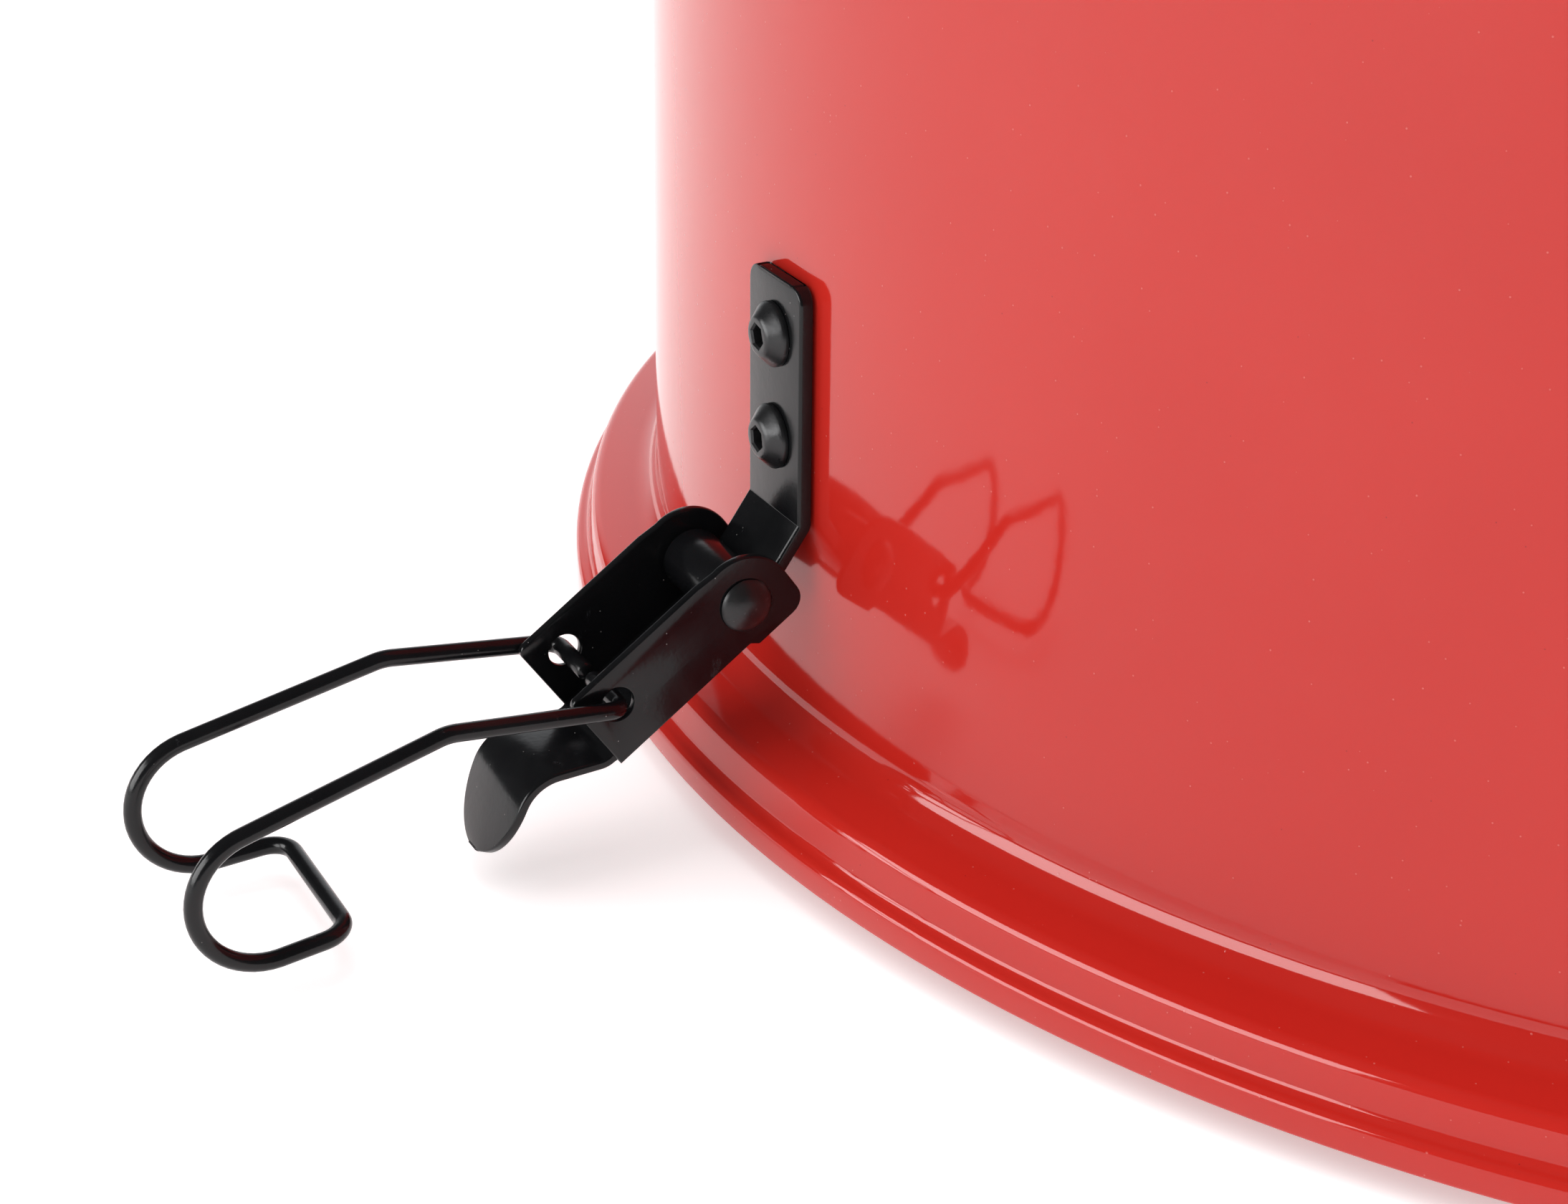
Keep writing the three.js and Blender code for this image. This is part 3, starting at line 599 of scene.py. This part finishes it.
def black_oxide(name):
    """Black oxide on a screw or pin: darker and duller, with a brighter worn grain."""
    nodes = Nodes(name)
    worn = nodes.ramp(nodes.noise(900, 5, 0.7), 0.60, 0.72)
    color = nodes.mix(worn, (0.012, 0.012, 0.013), (0.055, 0.055, 0.058))
    rough = nodes.between(nodes.noise(420, 4), 0.26, 0.42)
    normal = nodes.bump(nodes.noise(1300, 3), 0.00005, 0.5)
    return nodes.finish(color, rough, normal, IOR=1.6, Metallic=0.35)


def zinc_steel(name):
    """Zinc-plated steel with a fine brushed grain and pale clouds."""
    nodes = Nodes(name)
    cloud = nodes.between(nodes.noise(160, 4), 0, 1)
    color = nodes.mix(cloud, (0.42, 0.43, 0.44), (0.56, 0.57, 0.58))
    rough = nodes.between(nodes.noise(900, 3, stretch=(1, 1, 6)), 0.26, 0.44)
    normal = nodes.bump(nodes.noise(1400, 2, stretch=(1, 1, 5)), 0.00003, 0.4)
    return nodes.finish(color, rough, normal, Metallic=1.0)


def gasket_rubber(name):
    """Matte black rubber with a moulded grain."""
    nodes = Nodes(name)
    color = nodes.mix(nodes.between(nodes.noise(300, 4), 0, 1), (0.012,) * 3, (0.026,) * 3)
    normal = nodes.bump(nodes.noise(1600, 4), 0.0001, 0.6)
    return nodes.finish(color, nodes.between(nodes.noise(500, 3), 0.62, 0.8), normal)


def studio_floor(name):
    """A near-white matte floor, lit a little from inside, as a light table is."""
    nodes = Nodes(name)
    color = nodes.mix(nodes.between(nodes.noise(3, 3), 0, 1), (0.86, 0.86, 0.865), (0.88,) * 3)
    rough = nodes.between(nodes.noise(40, 3), 0.55, 0.7)
    return nodes.finish(
        color, rough, Emission_Color=(1, 1, 1, 1), Emission_Strength=0.42, Specular_IOR_Level=0.1,
    )


RED = red_paint("red_paint")
BLACK = black_paint("black_paint", 0.16)
OXIDE = black_oxide("black_oxide")
ZINC = zinc_steel("zinc_steel")
RUBBER = gasket_rubber("gasket_rubber")


# ---- the can's shells ------------------------------------------------------------------


def can_body():
    """The can's one sheet, from the bead at its rim to the lip of its stepped foot flange."""
    foot = [((CAN_RADIUS + out, FLANGE_LEVEL + up), radius) for out, up, radius in FLANGE_CORNERS]
    end = Vector((CAN_RADIUS + FLANGE_OUT, FLANGE_LEVEL + FLANGE_LIP_END))
    wall = [Vector((CAN_RADIUS, z)) for z in reversed(WALL_ROWS)]
    outer = [*wall, *rounded([((CAN_RADIUS, FOOT_TOP), 0), *foot, (end, 0)], 12)]
    inner = offset(outer, SHEET)
    lip = arc((end.x - SHEET / 2, end.y + 0.1), SHEET / 2, 0, -180, 6)
    bead_at = (CAN_RADIUS + RIM_BEAD["out"], RIM_TOP - RIM_BEAD["below"])
    bead = arc(bead_at, RIM_BEAD["radius"], -75, 90, 12)
    bead = [*bead, Vector((CAN_RADIUS - SHEET, RIM_TOP - RIM_BEAD["edge_drop"]))]
    inner[0] = Vector((CAN_RADIUS - SHEET, outer[0].y))
    outline = [*outer[:-1], *lip, *reversed(inner[:-1]), *reversed(bead)]
    return lathe(outline)


def base_pan():
    """The removable base: a raised floor, the ring that it stands on, and its rim."""
    corner = PAN["corner"]
    outside = CAN_RADIUS - PAN["ring_outside"]
    inside = CAN_RADIUS - PAN["ring_inside"]
    rim = FLANGE_LEVEL - PAN["rim_drop"]
    top = rounded([
        ((CAN_RADIUS + PAN["rim_out"], rim), 0), ((outside + corner, rim), corner),
        ((outside, SHEET), corner), ((inside, SHEET), corner),
        ((inside - 2 * corner, PAN["floor"]), corner), ((PAN["centre"], PAN["floor"]), 0),
    ], 6)
    under = offset(top, -SHEET)
    middle = [Vector((0, PAN["floor"])), Vector((0, PAN["floor"] - SHEET))]
    return lathe([*top, *middle, *reversed(under)])


def base_gasket():
    """The rubber ring between the pan's rim and the underside of the flange."""
    low = FLANGE_LEVEL - PAN["rim_drop"] + GAP
    high = FLANGE_LEVEL - GAP - GASKET["slack"]
    middle = Vector((CAN_RADIUS + GASKET["out"], (low + high) / 2))
    ring = section(GASKET["half_width"], (high - low) / 2, GASKET["edge"])
    return lathe([middle + q for q in ring])


def lid_shell():
    """The lid's one sheet: a raised panel, a step down to its edge, and the skirt."""
    skirt = CAN_RADIUS + LID_SKIRT_OUT
    hem_at = LID_SKIRT_END + HEM_LIFT
    corner = LID_STEP["corner"]
    top = rounded([
        ((LID_STEP["centre"], LID_PANEL), 0), ((LID_STEP["inside"], LID_PANEL), corner),
        ((LID_STEP["outside"], LID_FLAT), corner),
        ((skirt, LID_FLAT), LID_STEP["edge_corner"]), ((skirt, hem_at), 0),
    ], 8)
    under = offset(top, SHEET)
    hem = arc((skirt - SHEET / 2, hem_at), SHEET / 2, 0, -180, 6)
    middle = [Vector((0, LID_PANEL - SHEET)), Vector((0, LID_PANEL))]
    return lathe([*top[:-1], *hem, *reversed(under[:-1]), *middle])


piece("can_sheet", can_body(), "can", RED, ["can_wall", "can_foot"])
piece("base_pan_sheet", base_pan(), "can", RED, ["base_pan"])
piece("base_gasket_ring", base_gasket(), "can", RUBBER, ["base_gasket"])
lid_sheet = piece("lid_sheet", lid_shell(), "lid", RED, ["lid_top", "lid_skirt"])


# ---- fasteners -------------------------------------------------------------------------


def dome(radius, height, steps=10):
    """The (radius, height) points of a low dome from its top to its rim."""
    ball = (radius**2 + height**2) / (2 * height)
    points = []
    for k in range(steps + 1):
        reach = radius * k / steps
        points.append((reach, math.sqrt(ball**2 - reach**2) - ball + height))
    return points


def rivet(depth):
    """A domed rivet along x, its head's underside at x = 0."""
    rim = RIVET["rim"]
    shank = RIVET["shank"]
    outline = [(r, h + 0.25) for r, h in dome(RIVET["dome"], RIVET["height"])]
    outline += [(rim, 0.12), (rim - 0.08, 0), (shank, 0), (shank, -depth), (0, -depth)]
    return lathe(outline, 40, ALONG_X)


def button_screw(end):
    """A button-head socket screw along x, its head's underside at x = 0."""
    # (radius, height) points, from the drilled middle of the socket outward and round.
    socket = [(0, 0.75), (1.2, 1.1), (1.73, 1.25), (1.73, 2.45), (2.05, 2.75)]
    hexagonal = (2, 3, 4)
    land = [(2.35, 2.75), (2.75, 2.68)]
    cone_end = Vector((4.55, 0.95))
    cone = [tuple(Vector(land[-1]).lerp(cone_end, k / 5)) for k in range(1, 6)]
    rim = [(4.72, 0.72), (4.75, 0.45), (4.72, 0.1), (4.62, 0)]
    shank = [(2.5, 0), (2.5, end), (0, end)]
    outline = [*socket, *land, *cone, *rim, *shank]
    return lathe(outline, 48, ALONG_X, hexagon=hexagonal)


# ---- toggle latch ----------------------------------------------------------------------


def latch_strap():
    """The strap: flat on the wall, bent outward below, and rolled round the pivot."""
    middle = GAP + STRAP["thick"] / 2
    half = STRAP["width"] / 2
    roll = PIVOT["bore"] + STRAP["thick"] / 2
    pivot = Vector((PIVOT["out"], PIVOT["up"]))
    start = 180 + STRAP["lean"]
    curl = arc(pivot, roll, start, start + STRAP_CURL, 44)
    top = Vector((middle, STRAP["top"]))
    corner = STRAP["corner"]
    rounded_top = [top - Vector((0, down)) for down in eased(corner)]
    leg = rounded([(rounded_top[-1], 0), ((middle, STRAP["bend"]), 1.6), (curl[0], 0)], 6)
    line = [*rounded_top[:-1], *resampled(leg, 6), *curl[1:]]
    widths = []
    for point in line:
        into = min(corner, STRAP["top"] - point.y)
        widths.append(half - corner_inset(corner, into))
    return ribbon(line, widths, STRAP["thick"], 0.45)


def lever_side(sign):
    """One side plate of the channel, with its round back and the bail's hole."""
    top = LEVER["top"]
    web_start = LEVER["web_start"]
    web_face = LEVER["web_face"]
    edge = rounded([
        ((LEVER["length"], web_face), 0), ((LEVER["length"], top), 1.3), ((4, top), 0),
    ], 6)
    back = arc((0, 0), LEVER["round"], 84, 180, 20)
    heel = rounded([
        ((-LEVER["round"], -1), 0), ((-LEVER["round"], LEVER["bottom"]), 2.8),
        ((web_start - 0.6, LEVER["bottom"]), 0.5), ((web_start + 0.4, web_face), 0.5),
        ((LEVER["length"] - 2, web_face), 0),
    ], 6)
    outline = [*edge, *back, *heel[:-1]]
    thick = LEVER["outside"] - LEVER["inside"]
    holes = [circle((BAIL_HOLE["along"], BAIL_HOLE["above"]), BAIL_HOLE["radius"])]
    place = Matrix.Translation((0, sign * (LEVER["inside"] + thick / 2), 0)) @ UPRIGHT
    return plate(outline, holes, thick, 0.32, place)


def lever_web():
    """The channel's floor and, beyond it, the thumb tab with its round end."""
    middle = LEVER["web_face"] + LEVER["web_thick"] / 2
    inside = LEVER["inside"] + 0.4
    lift = LEVER["web_thick"] / 2
    line = rounded([
        ((LEVER["web_start"], middle), 0), ((LEVER["length"] + 1.4, middle), 3.5),
        ((TAB["crest"], TAB["crest_height"] - lift), 6.5),
        ((TAB["end"], TAB["end_height"] - lift), 0),
    ], 10)
    line = resampled(line, 1.5)
    root = LEVER["length"] - 0.6
    last = line[-1].x
    straight = [p for p in line if p.x < last - TAB["end_round"]]
    tail_start = line[len(straight) - 1]
    tail = line[-1] - tail_start
    steps = 18
    tip = [tail_start + tail * math.sin(math.pi / 2 * k / steps) for k in range(1, steps + 1)]
    line = [*straight, *tip]
    widths = []
    for point in line:
        width = inside if point.x < root else LEVER["inside"]
        into = (point.x - tail_start.x) / (last - tail_start.x)
        if into > 0:
            width = max(1.6, LEVER["inside"] * math.sqrt(max(0.0, 1 - into**2)))
        widths.append(width)
    return ribbon(line, widths, LEVER["web_thick"], 0.4)


def pivot_pin():
    """The riveted pin along y, with a domed head on each side of the lever."""
    seat = LEVER["outside"] + 0.1
    head = PIVOT["head"]
    edge = 0.35
    cap = [(r, seat + edge + h) for r, h in dome(head - 0.05, PIVOT["head_height"] - edge)]
    rim = [(head, seat + 0.2), (head - 0.15, seat), (PIVOT["pin"], seat)]
    upper = [*cap, *rim]
    lower = [(r, -z) for r, z in reversed(upper)]
    return lathe([*upper, *lower], 44, ALONG_Y)


def bail_wire():
    """The bail's wire from one inner end to the other, in its own frame at the lever's hole."""
    bend = at_angle(BAIL["first_run"], BAIL["rise"])
    loop_start = bend + at_angle(BAIL["second_run"], -BAIL["fall"])
    centre = loop_start + at_angle(BAIL["loop_radius"], -BAIL["fall"] - 90)
    sweep = BAIL["last_heading"] - 360 + BAIL["fall"]
    first = 90 - BAIL["fall"]
    loop = arc(centre, BAIL["loop_radius"], first, first + sweep, 26)
    end = loop[-1] + at_angle(BAIL["last_run"], BAIL["last_heading"])

    def place(flat, half):
        return Vector((flat.x, half, flat.y))

    near = BAIL["near_half"]
    far = BAIL["far_half"]
    half_line = rounded([
        ((0, BAIL["inner_end"], 0), 0), ((0, near, 0), 2.2),
        (place(bend, near + 0.8), 8), (place(loop_start, far), 0),
    ], 9)
    half_line += [place(p, far) for p in loop[1:]]
    crossbar = rounded([
        (half_line[-1], 0), (place(end, far - 0.6), BAIL["corner"]),
        (place(end, -(far - 0.6)), 0),
    ], 9)
    half_line = resampled([*half_line, *crossbar[1:-1]], 3.5)
    other = [Vector((p.x, -p.y, p.z)) for p in reversed(half_line)]
    return tube([*half_line, *other], BAIL["wire"])


def backing_plate():
    """The flat plate inside the can that the strap's screws pull on."""
    outline = round_rectangle(
        BACKING["half"], BACKING["low"], BACKING["high"], BACKING["corner"], 5)
    place = Matrix.Translation((BACKING["at"], 0, 0)) @ ON_WALL
    return plate(outline, [], BACKING["thick"], 0.3, place)


def build_latch(name, degrees):
    """One latch, lying open: its strap, screws, lever, pin and bail."""
    place = wall_place(degrees, FLANGE_LEVEL)
    piece(f"{name}_strap_sheet", latch_strap(), "can", BLACK,
          [f"{name}_strap"], place)
    piece(f"{name}_inner_plate", backing_plate(), "can", ZINC,
          [f"{name}_backing_plate"], place)
    seat = GAP + STRAP["thick"] + 0.02
    for row, up in SCREW_HEIGHTS.items():
        spin = Matrix.Rotation(math.radians(random.uniform(0, 60)), 4, "X")
        at = place @ Matrix.Translation((seat, 0, up)) @ spin
        piece(f"{name}_button_screw_{row}", button_screw(-5.5 - seat), "can", OXIDE,
              [f"{name}_screw_{row}"], at)
    swing = place @ Matrix.Translation((PIVOT["out"], 0, PIVOT["up"]))
    swing = swing @ Matrix.Rotation(math.radians(LEVER["droop"]), 4, "Y")
    lever = united(lever_web(), [lever_side(1), lever_side(-1)])
    piece(f"{name}_lever_channel", lever, f"{name}_lever_body", BLACK,
          [f"{name}_lever"], swing)
    piece(f"{name}_rivet_pin", pivot_pin(), f"{name}_lever_body", OXIDE,
          [f"{name}_pivot_pin"], swing)
    loop = swing @ Matrix.Translation((BAIL_HOLE["along"], 0, BAIL_HOLE["above"]))
    loop = loop @ Matrix.Rotation(-math.radians(LEVER["droop"]), 4, "Y")
    piece(f"{name}_bail_wire", bail_wire(), f"{name}_bail_body", BLACK,
          [f"{name}_bail"], loop)


random.seed(7)
for latch_name, latch_degrees in LATCHES.items():
    build_latch(latch_name, latch_degrees)


# ---- drop handles ----------------------------------------------------------------------


def handle_bracket():
    """A plate on the wall whose foot is rolled round the handle's wire."""
    thick = HANDLE["plate_thick"]
    middle = GAP + 0.1 + thick / 2
    roll = HANDLE["wire"] + 0.35 + thick / 2
    barrel = Vector((HANDLE["out"], 0))
    top = HANDLE["plate_height"] - HANDLE["barrel"]
    curl = arc(barrel, roll, 160, 160 + 300, 48)
    corner = 4.0
    head = [Vector((middle, top - down)) for down in eased(corner)]
    leg = rounded([(head[-1], 0), ((middle, 6), 3), (curl[0], 0)], 8)
    line = [*head[:-1], *resampled(leg, 3), *curl[1:]]
    widths = []
    for point in line:
        into = min(corner, top - point.y)
        widths.append(HANDLE["half_width"] - 0.2 - corner_inset(corner, into))
    return ribbon(line, widths, thick, 0.5)


def handle_wire():
    """The handle's wire, hanging from its two ends inside the bracket's roll."""
    span = HANDLE["half_span"]
    drop = HANDLE["drop"]
    corner = HANDLE["corner"]
    end = 2.0
    line = rounded([
        ((0, end, 0), 0), ((0, span, 0), corner), ((0, span, -drop), corner),
        ((0, -span, -drop), corner), ((0, -span, 0), corner), ((0, -end, 0), 0),
    ], 12)
    return tube(resampled(line, 5), HANDLE["wire"], 28)


def build_handle(name, degrees):
    """One handle: its bracket, its wire and the bracket's two rivets."""
    place = wall_place(degrees, HANDLE["z"])
    bracket = wrapped(handle_bracket(), fade_from=6, fade_to=14)
    piece(f"{name}_bracket_sheet", bracket, "can", BLACK,
          [f"{name}_bracket"], place)
    at = place @ Matrix.Translation((HANDLE["out"], 0, 0))
    piece(f"{name}_grip_wire", handle_wire(), f"{name}_drop", BLACK,
          [f"{name}_grip"], at)
    # Left and right lie on opposite sides, so the turn that leads to the rear changes sign.
    rearward = math.cos(math.radians(degrees))
    for end, side in (("front", -rearward), ("rear", rearward)):
        turn = Matrix.Rotation(side * HANDLE["rivet_at"] / CAN_RADIUS, 4, "Z")
        off = Matrix.Translation((-CAN_RADIUS, 0, 0))
        spot = place @ off @ turn @ Matrix.Translation(
            (CAN_RADIUS + 2.85, 0, HANDLE["rivet_rise"]))
        piece(f"{name}_domed_rivet_{end}", rivet(6), "can", ZINC,
              [f"{name}_rivet_{end}"], spot)


for handle_name, handle_degrees in SIDES.items():
    build_handle(handle_name, handle_degrees)


# ---- lid hinge and lid grip ------------------------------------------------------------


def hinge_bracket():
    """The wall plate with its two ears, in the wall place of the pin."""
    low = -HINGE["plate_drop"] - HINGE["plate_height"] / 2
    high = -HINGE["plate_drop"] + HINGE["plate_height"] / 2
    thick = HINGE["plate_thick"]
    outline = round_rectangle(HINGE["plate_half"], low, high, 5, 8)
    outline = resampled([*outline, outline[0]], 2)[:-1]
    on_wall = Matrix.Translation((GAP + 0.2 + thick / 2, 0, 0)) @ ON_WALL
    wall = wrapped(plate(outline, [], thick, 0.4, on_wall))
    pin_out = HINGE["y"] - CAN_RADIUS
    ear = [Vector((1.8, low + 9))]
    ear += arc((pin_out, 0), HINGE["ear_radius"], -60, 120, 24)
    ear += [Vector((1.8, -3))]
    ears = [
        plate(ear, [], HINGE["ear_thick"], 0.35,
              Matrix.Translation((0, side * HINGE["ear_at"], 0)) @ UPRIGHT)
        for side in (-1, 1)
    ]
    return united(wall, ears)


def hinge_strap():
    """The strip on the lid whose end is rolled round the hinge pin, in the can's frame."""
    thick = HINGE["strap_thick"]
    top = LID_FLAT + SEAT + thick / 2
    corner = 4.0
    pin = Vector((HINGE["y"], HINGE["z"]))
    roll = HINGE["pin"] + 0.3 + thick / 2
    curl = arc(pin, roll, 165, 165 - 300, 48)
    start = Vector((STRAP_RIVETS["y"] - 10, top))
    head = [start + Vector((along, 0)) for along in eased(corner)]
    bend_at = curl[0].x + 0.6
    leg = rounded([(head[-1], 0), ((bend_at, top), 3.5), (curl[0], 0)], 8)
    line = [*head[:-1], *resampled(leg, 3), *curl[1:]]
    widths = []
    for point in line:
        into = min(corner, point.x - start.x)
        widths.append(HINGE["half_width"] - corner_inset(corner, into))
    turned = Matrix.Rotation(math.radians(90), 4, "Z")
    return ribbon(line, widths, thick, 0.45, turned)


def hinge_pin():
    """The hinge's rod along x, with a domed head and a riveted tail."""
    seat = HINGE["ear_at"] + HINGE["ear_thick"] / 2 + 0.1
    radius = HINGE["pin"]
    head = [(r, seat + 1.0 + h) for r, h in dome(4.0, 1.4)]
    tail = [(r, -seat - 1.2 - h) for r, h in reversed(dome(radius - 0.3, 0.5))]
    shank = [(radius, seat), (radius, -seat - 1.0)]
    return lathe([*head, (4.2, seat + 0.8), (4.1, seat), *shank, *tail], 40, ALONG_X)


def lid_grip():
    """The grip: a bridge over the lid with a flat foot at each end."""
    low = LID_PANEL + SEAT + GRIP["thick"] / 2
    high = OVERALL_HEIGHT - GRIP["thick"] / 2
    foot = GRIP["half_foot"]
    bridge = GRIP["half_bridge"]
    line = rounded([
        ((-foot, low), 0), ((-bridge - 4, low), 3), ((-bridge, high), 5.5),
        ((bridge, high), 5.5), ((bridge + 4, low), 3), ((foot, low), 0),
    ], 10)
    corner = GRIP["corner"]
    ends = [foot - inward for inward in eased(corner)[:-1]]
    left = [Vector((-x, low)) for x in ends]
    right = [Vector((x, low)) for x in reversed(ends)]
    line = [*left, *resampled(line[1:-1], 4), *right]
    widths = []
    for point in line:
        into = min(corner, foot - abs(point.x))
        widths.append(GRIP["depth"] / 2 - corner_inset(corner, into))
    return ribbon(line, widths, GRIP["thick"], 0.7, Matrix.Translation((0, GRIP["y"], 0)))


def upright_rivet(name, node, x, y, seat, depth):
    """A rivet through a strip on the lid, its head up."""
    place = Matrix.Translation((x, y, seat)) @ Matrix.Rotation(math.radians(-90), 4, "Y")
    piece(name, rivet(depth), "lid", ZINC, [node], place)


piece("hinge_wall_plate", hinge_bracket(), "can", BLACK, ["lid_hinge_bracket"],
      wall_place(90, HINGE["z"]))
piece("hinge_lid_strip", hinge_strap(), "lid", BLACK, ["lid_hinge_strap"])
piece("hinge_rod", hinge_pin(), "can", ZINC, ["lid_hinge_pin"],
      Matrix.Translation((0, HINGE["y"], HINGE["z"])))
for end_name, end_side in (("left", 1), ("right", -1)):
    swing_to = 90 + math.degrees(end_side * HINGE["rivet_at"] / CAN_RADIUS)
    spot_on_wall = wall_place(swing_to, HINGE["z"] - HINGE["rivet_drop"])
    piece(f"hinge_plate_rivet_{end_name}", rivet(6), "can", ZINC,
          [f"hinge_bracket_rivet_{end_name}"], spot_on_wall @ Matrix.Translation((3.15, 0, 0)))
piece("lid_grip_strip", lid_grip(), "lid", BLACK, ["lid_grip"])
strap_seat = LID_FLAT + HINGE["strap_thick"] + SEAT + 0.02
grip_seat = LID_PANEL + GRIP["thick"] + SEAT + 0.02
for end_name, end_side in (("left", -1), ("right", 1)):
    upright_rivet(f"hinge_strip_rivet_{end_name}", f"hinge_strap_rivet_{end_name}",
                  end_side * STRAP_RIVETS["x"], STRAP_RIVETS["y"], strap_seat, 4.4)
    upright_rivet(f"grip_rivet_{end_name}", f"lid_grip_rivet_{end_name}",
                  end_side * GRIP["rivet_at"], GRIP["y"], grip_seat, 4.8)


# ---- studio ----------------------------------------------------------------------------

# The pale backdrop that gloss shows: the way from the can to its middle, behind it on the left,
# how near to that way it starts and is full, and the strengths outside and inside it.
BACKDROP = (-0.42, 0.90, 0.12)
BACKDROP_SPREAD = (0.87, 0.95, 0.06, 1.1)
# The world's strength on matt surfaces, and what the camera sees more of behind the floor.
SOFT_LIGHT = 0.78
BEHIND_MORE = 0.35
# Name, place, aim, size, power, and whether it shows in gloss instead of lighting matt surfaces.
SOFTBOXES = [
    ("key", (-1.4, -1.0, 1.9), (0, -0.05, 0.15), (1.6, 1.6), 12, False),
    ("top", (0.2, 0.2, 2.4), (0, 0, 0.2), (2.4, 2.4), 32, False),
    ("fill", (1.7, -0.9, 1.1), (0, 0, 0.2), (1.2, 1.6), 2, False),
    ("strip", (-1.05, -0.88, 0.40), (0, -0.06, 0.02), (1.25, 0.62), 17, True),
    ("rear", (0.55, 1.25, 1.35), (0, -0.1, 0.05), (1.5, 0.5), 9, True),
]


def add_floor():
    """A wide flat floor that stays in place in every view."""
    half = 4.0
    mesh = bpy.data.meshes.new("floor")
    corners = [(-half, -half, 0), (half, -half, 0), (half, half, 0), (-half, half, 0)]
    mesh.from_pydata(corners, [], [(0, 1, 2, 3)])
    mesh.materials.append(studio_floor("floor"))
    floor = bpy.data.objects.new("floor", mesh)
    bpy.context.scene.collection.objects.link(floor)


def add_softbox(name, at, aim, size, power, reflected):
    """A rectangular lamp, which either lights matt surfaces or shows in the gloss."""
    light = bpy.data.lights.new(name, "AREA")
    light.shape = "RECTANGLE"
    light.size = size[0]
    light.size_y = size[1]
    light.energy = power
    lamp = bpy.data.objects.new(name, light)
    lamp.location = at
    lamp.rotation_euler = (Vector(aim) - Vector(at)).to_track_quat("-Z", "Y").to_euler()
    lamp.visible_glossy = reflected
    lamp.visible_diffuse = not reflected
    bpy.context.scene.collection.objects.link(lamp)
    return lamp


def keep_off(lamp, made):
    """Keeps a lamp off one piece: the flat lid would mirror it as a white sheet."""
    kept_off = bpy.data.collections.new(lamp.name + "_kept_off")
    kept_off.objects.link(made)
    lamp.light_linking.receiver_collection = kept_off
    kept_off.collection_objects[0].light_linking.link_state = "EXCLUDE"


def add_world():
    """Even white light for matt surfaces. Gloss sees a dark ceiling and a pale backdrop."""
    world = bpy.data.worlds.new("studio")
    world.use_nodes = True
    tree = world.node_tree
    soft = tree.nodes["Background"]
    soft.inputs["Color"].default_value = (1.0, 1.0, 1.0, 1)
    seen = tree.nodes.new("ShaderNodeBackground")
    seen.inputs["Color"].default_value = (0.95, 0.97, 1.0, 1)
    coords = tree.nodes.new("ShaderNodeTexCoord")
    facing = tree.nodes.new("ShaderNodeVectorMath")
    facing.operation = "DOT_PRODUCT"
    tree.links.new(coords.outputs["Generated"], facing.inputs[0])
    facing.inputs[1].default_value = BACKDROP
    spread = tree.nodes.new("ShaderNodeMapRange")
    spread.interpolation_type = "SMOOTHSTEP"
    set_range(spread, *BACKDROP_SPREAD)
    tree.links.new(facing.outputs["Value"], spread.inputs["Value"])
    tree.links.new(spread.outputs["Result"], seen.inputs["Strength"])
    kind = tree.nodes.new("ShaderNodeLightPath")
    behind = tree.nodes.new("ShaderNodeMath")
    behind.operation = "MULTIPLY_ADD"
    tree.links.new(kind.outputs["Is Camera Ray"], behind.inputs[0])
    behind.inputs[1].default_value = BEHIND_MORE
    behind.inputs[2].default_value = SOFT_LIGHT
    tree.links.new(behind.outputs[0], soft.inputs["Strength"])
    mix = tree.nodes.new("ShaderNodeMixShader")
    tree.links.new(kind.outputs["Is Glossy Ray"], mix.inputs["Fac"])
    tree.links.new(soft.outputs[0], mix.inputs[1])
    tree.links.new(seen.outputs[0], mix.inputs[2])
    tree.links.new(mix.outputs[0], tree.nodes["World Output"].inputs["Surface"])
    bpy.context.scene.world = world


def add_camera():
    """The camera at its place, turned by its pan, its pitch downward and its roll."""
    pan = math.radians(CAMERA["pan"])
    pitch = math.radians(CAMERA["pitch"])
    roll = math.radians(CAMERA["roll"])
    right = Vector((math.cos(pan), math.sin(pan), 0))
    level = Vector((-math.sin(pan), math.cos(pan), 0))
    ahead = level * math.cos(pitch) - Vector((0, 0, 1)) * math.sin(pitch)
    up = right.cross(ahead)
    side = right * math.cos(roll) + up * math.sin(roll)
    top = up * math.cos(roll) - right * math.sin(roll)
    turn = Matrix((side, top, -ahead)).transposed().to_4x4()
    lens = bpy.data.cameras.new("camera")
    lens.sensor_width = CAMERA["sensor"]
    lens.lens = CAMERA["lens"]
    lens.clip_start = 0.01
    camera = bpy.data.objects.new("camera", lens)
    camera.matrix_world = Matrix.Translation(Vector(CAMERA["at"]) * MM) @ turn
    bpy.context.scene.collection.objects.link(camera)
    bpy.context.scene.camera = camera


add_floor()
add_world()
lamps = {box[0]: add_softbox(*box) for box in SOFTBOXES}
keep_off(lamps["strip"], lid_sheet)
add_camera()
bpy.context.scene.view_settings.view_transform = "Standard"
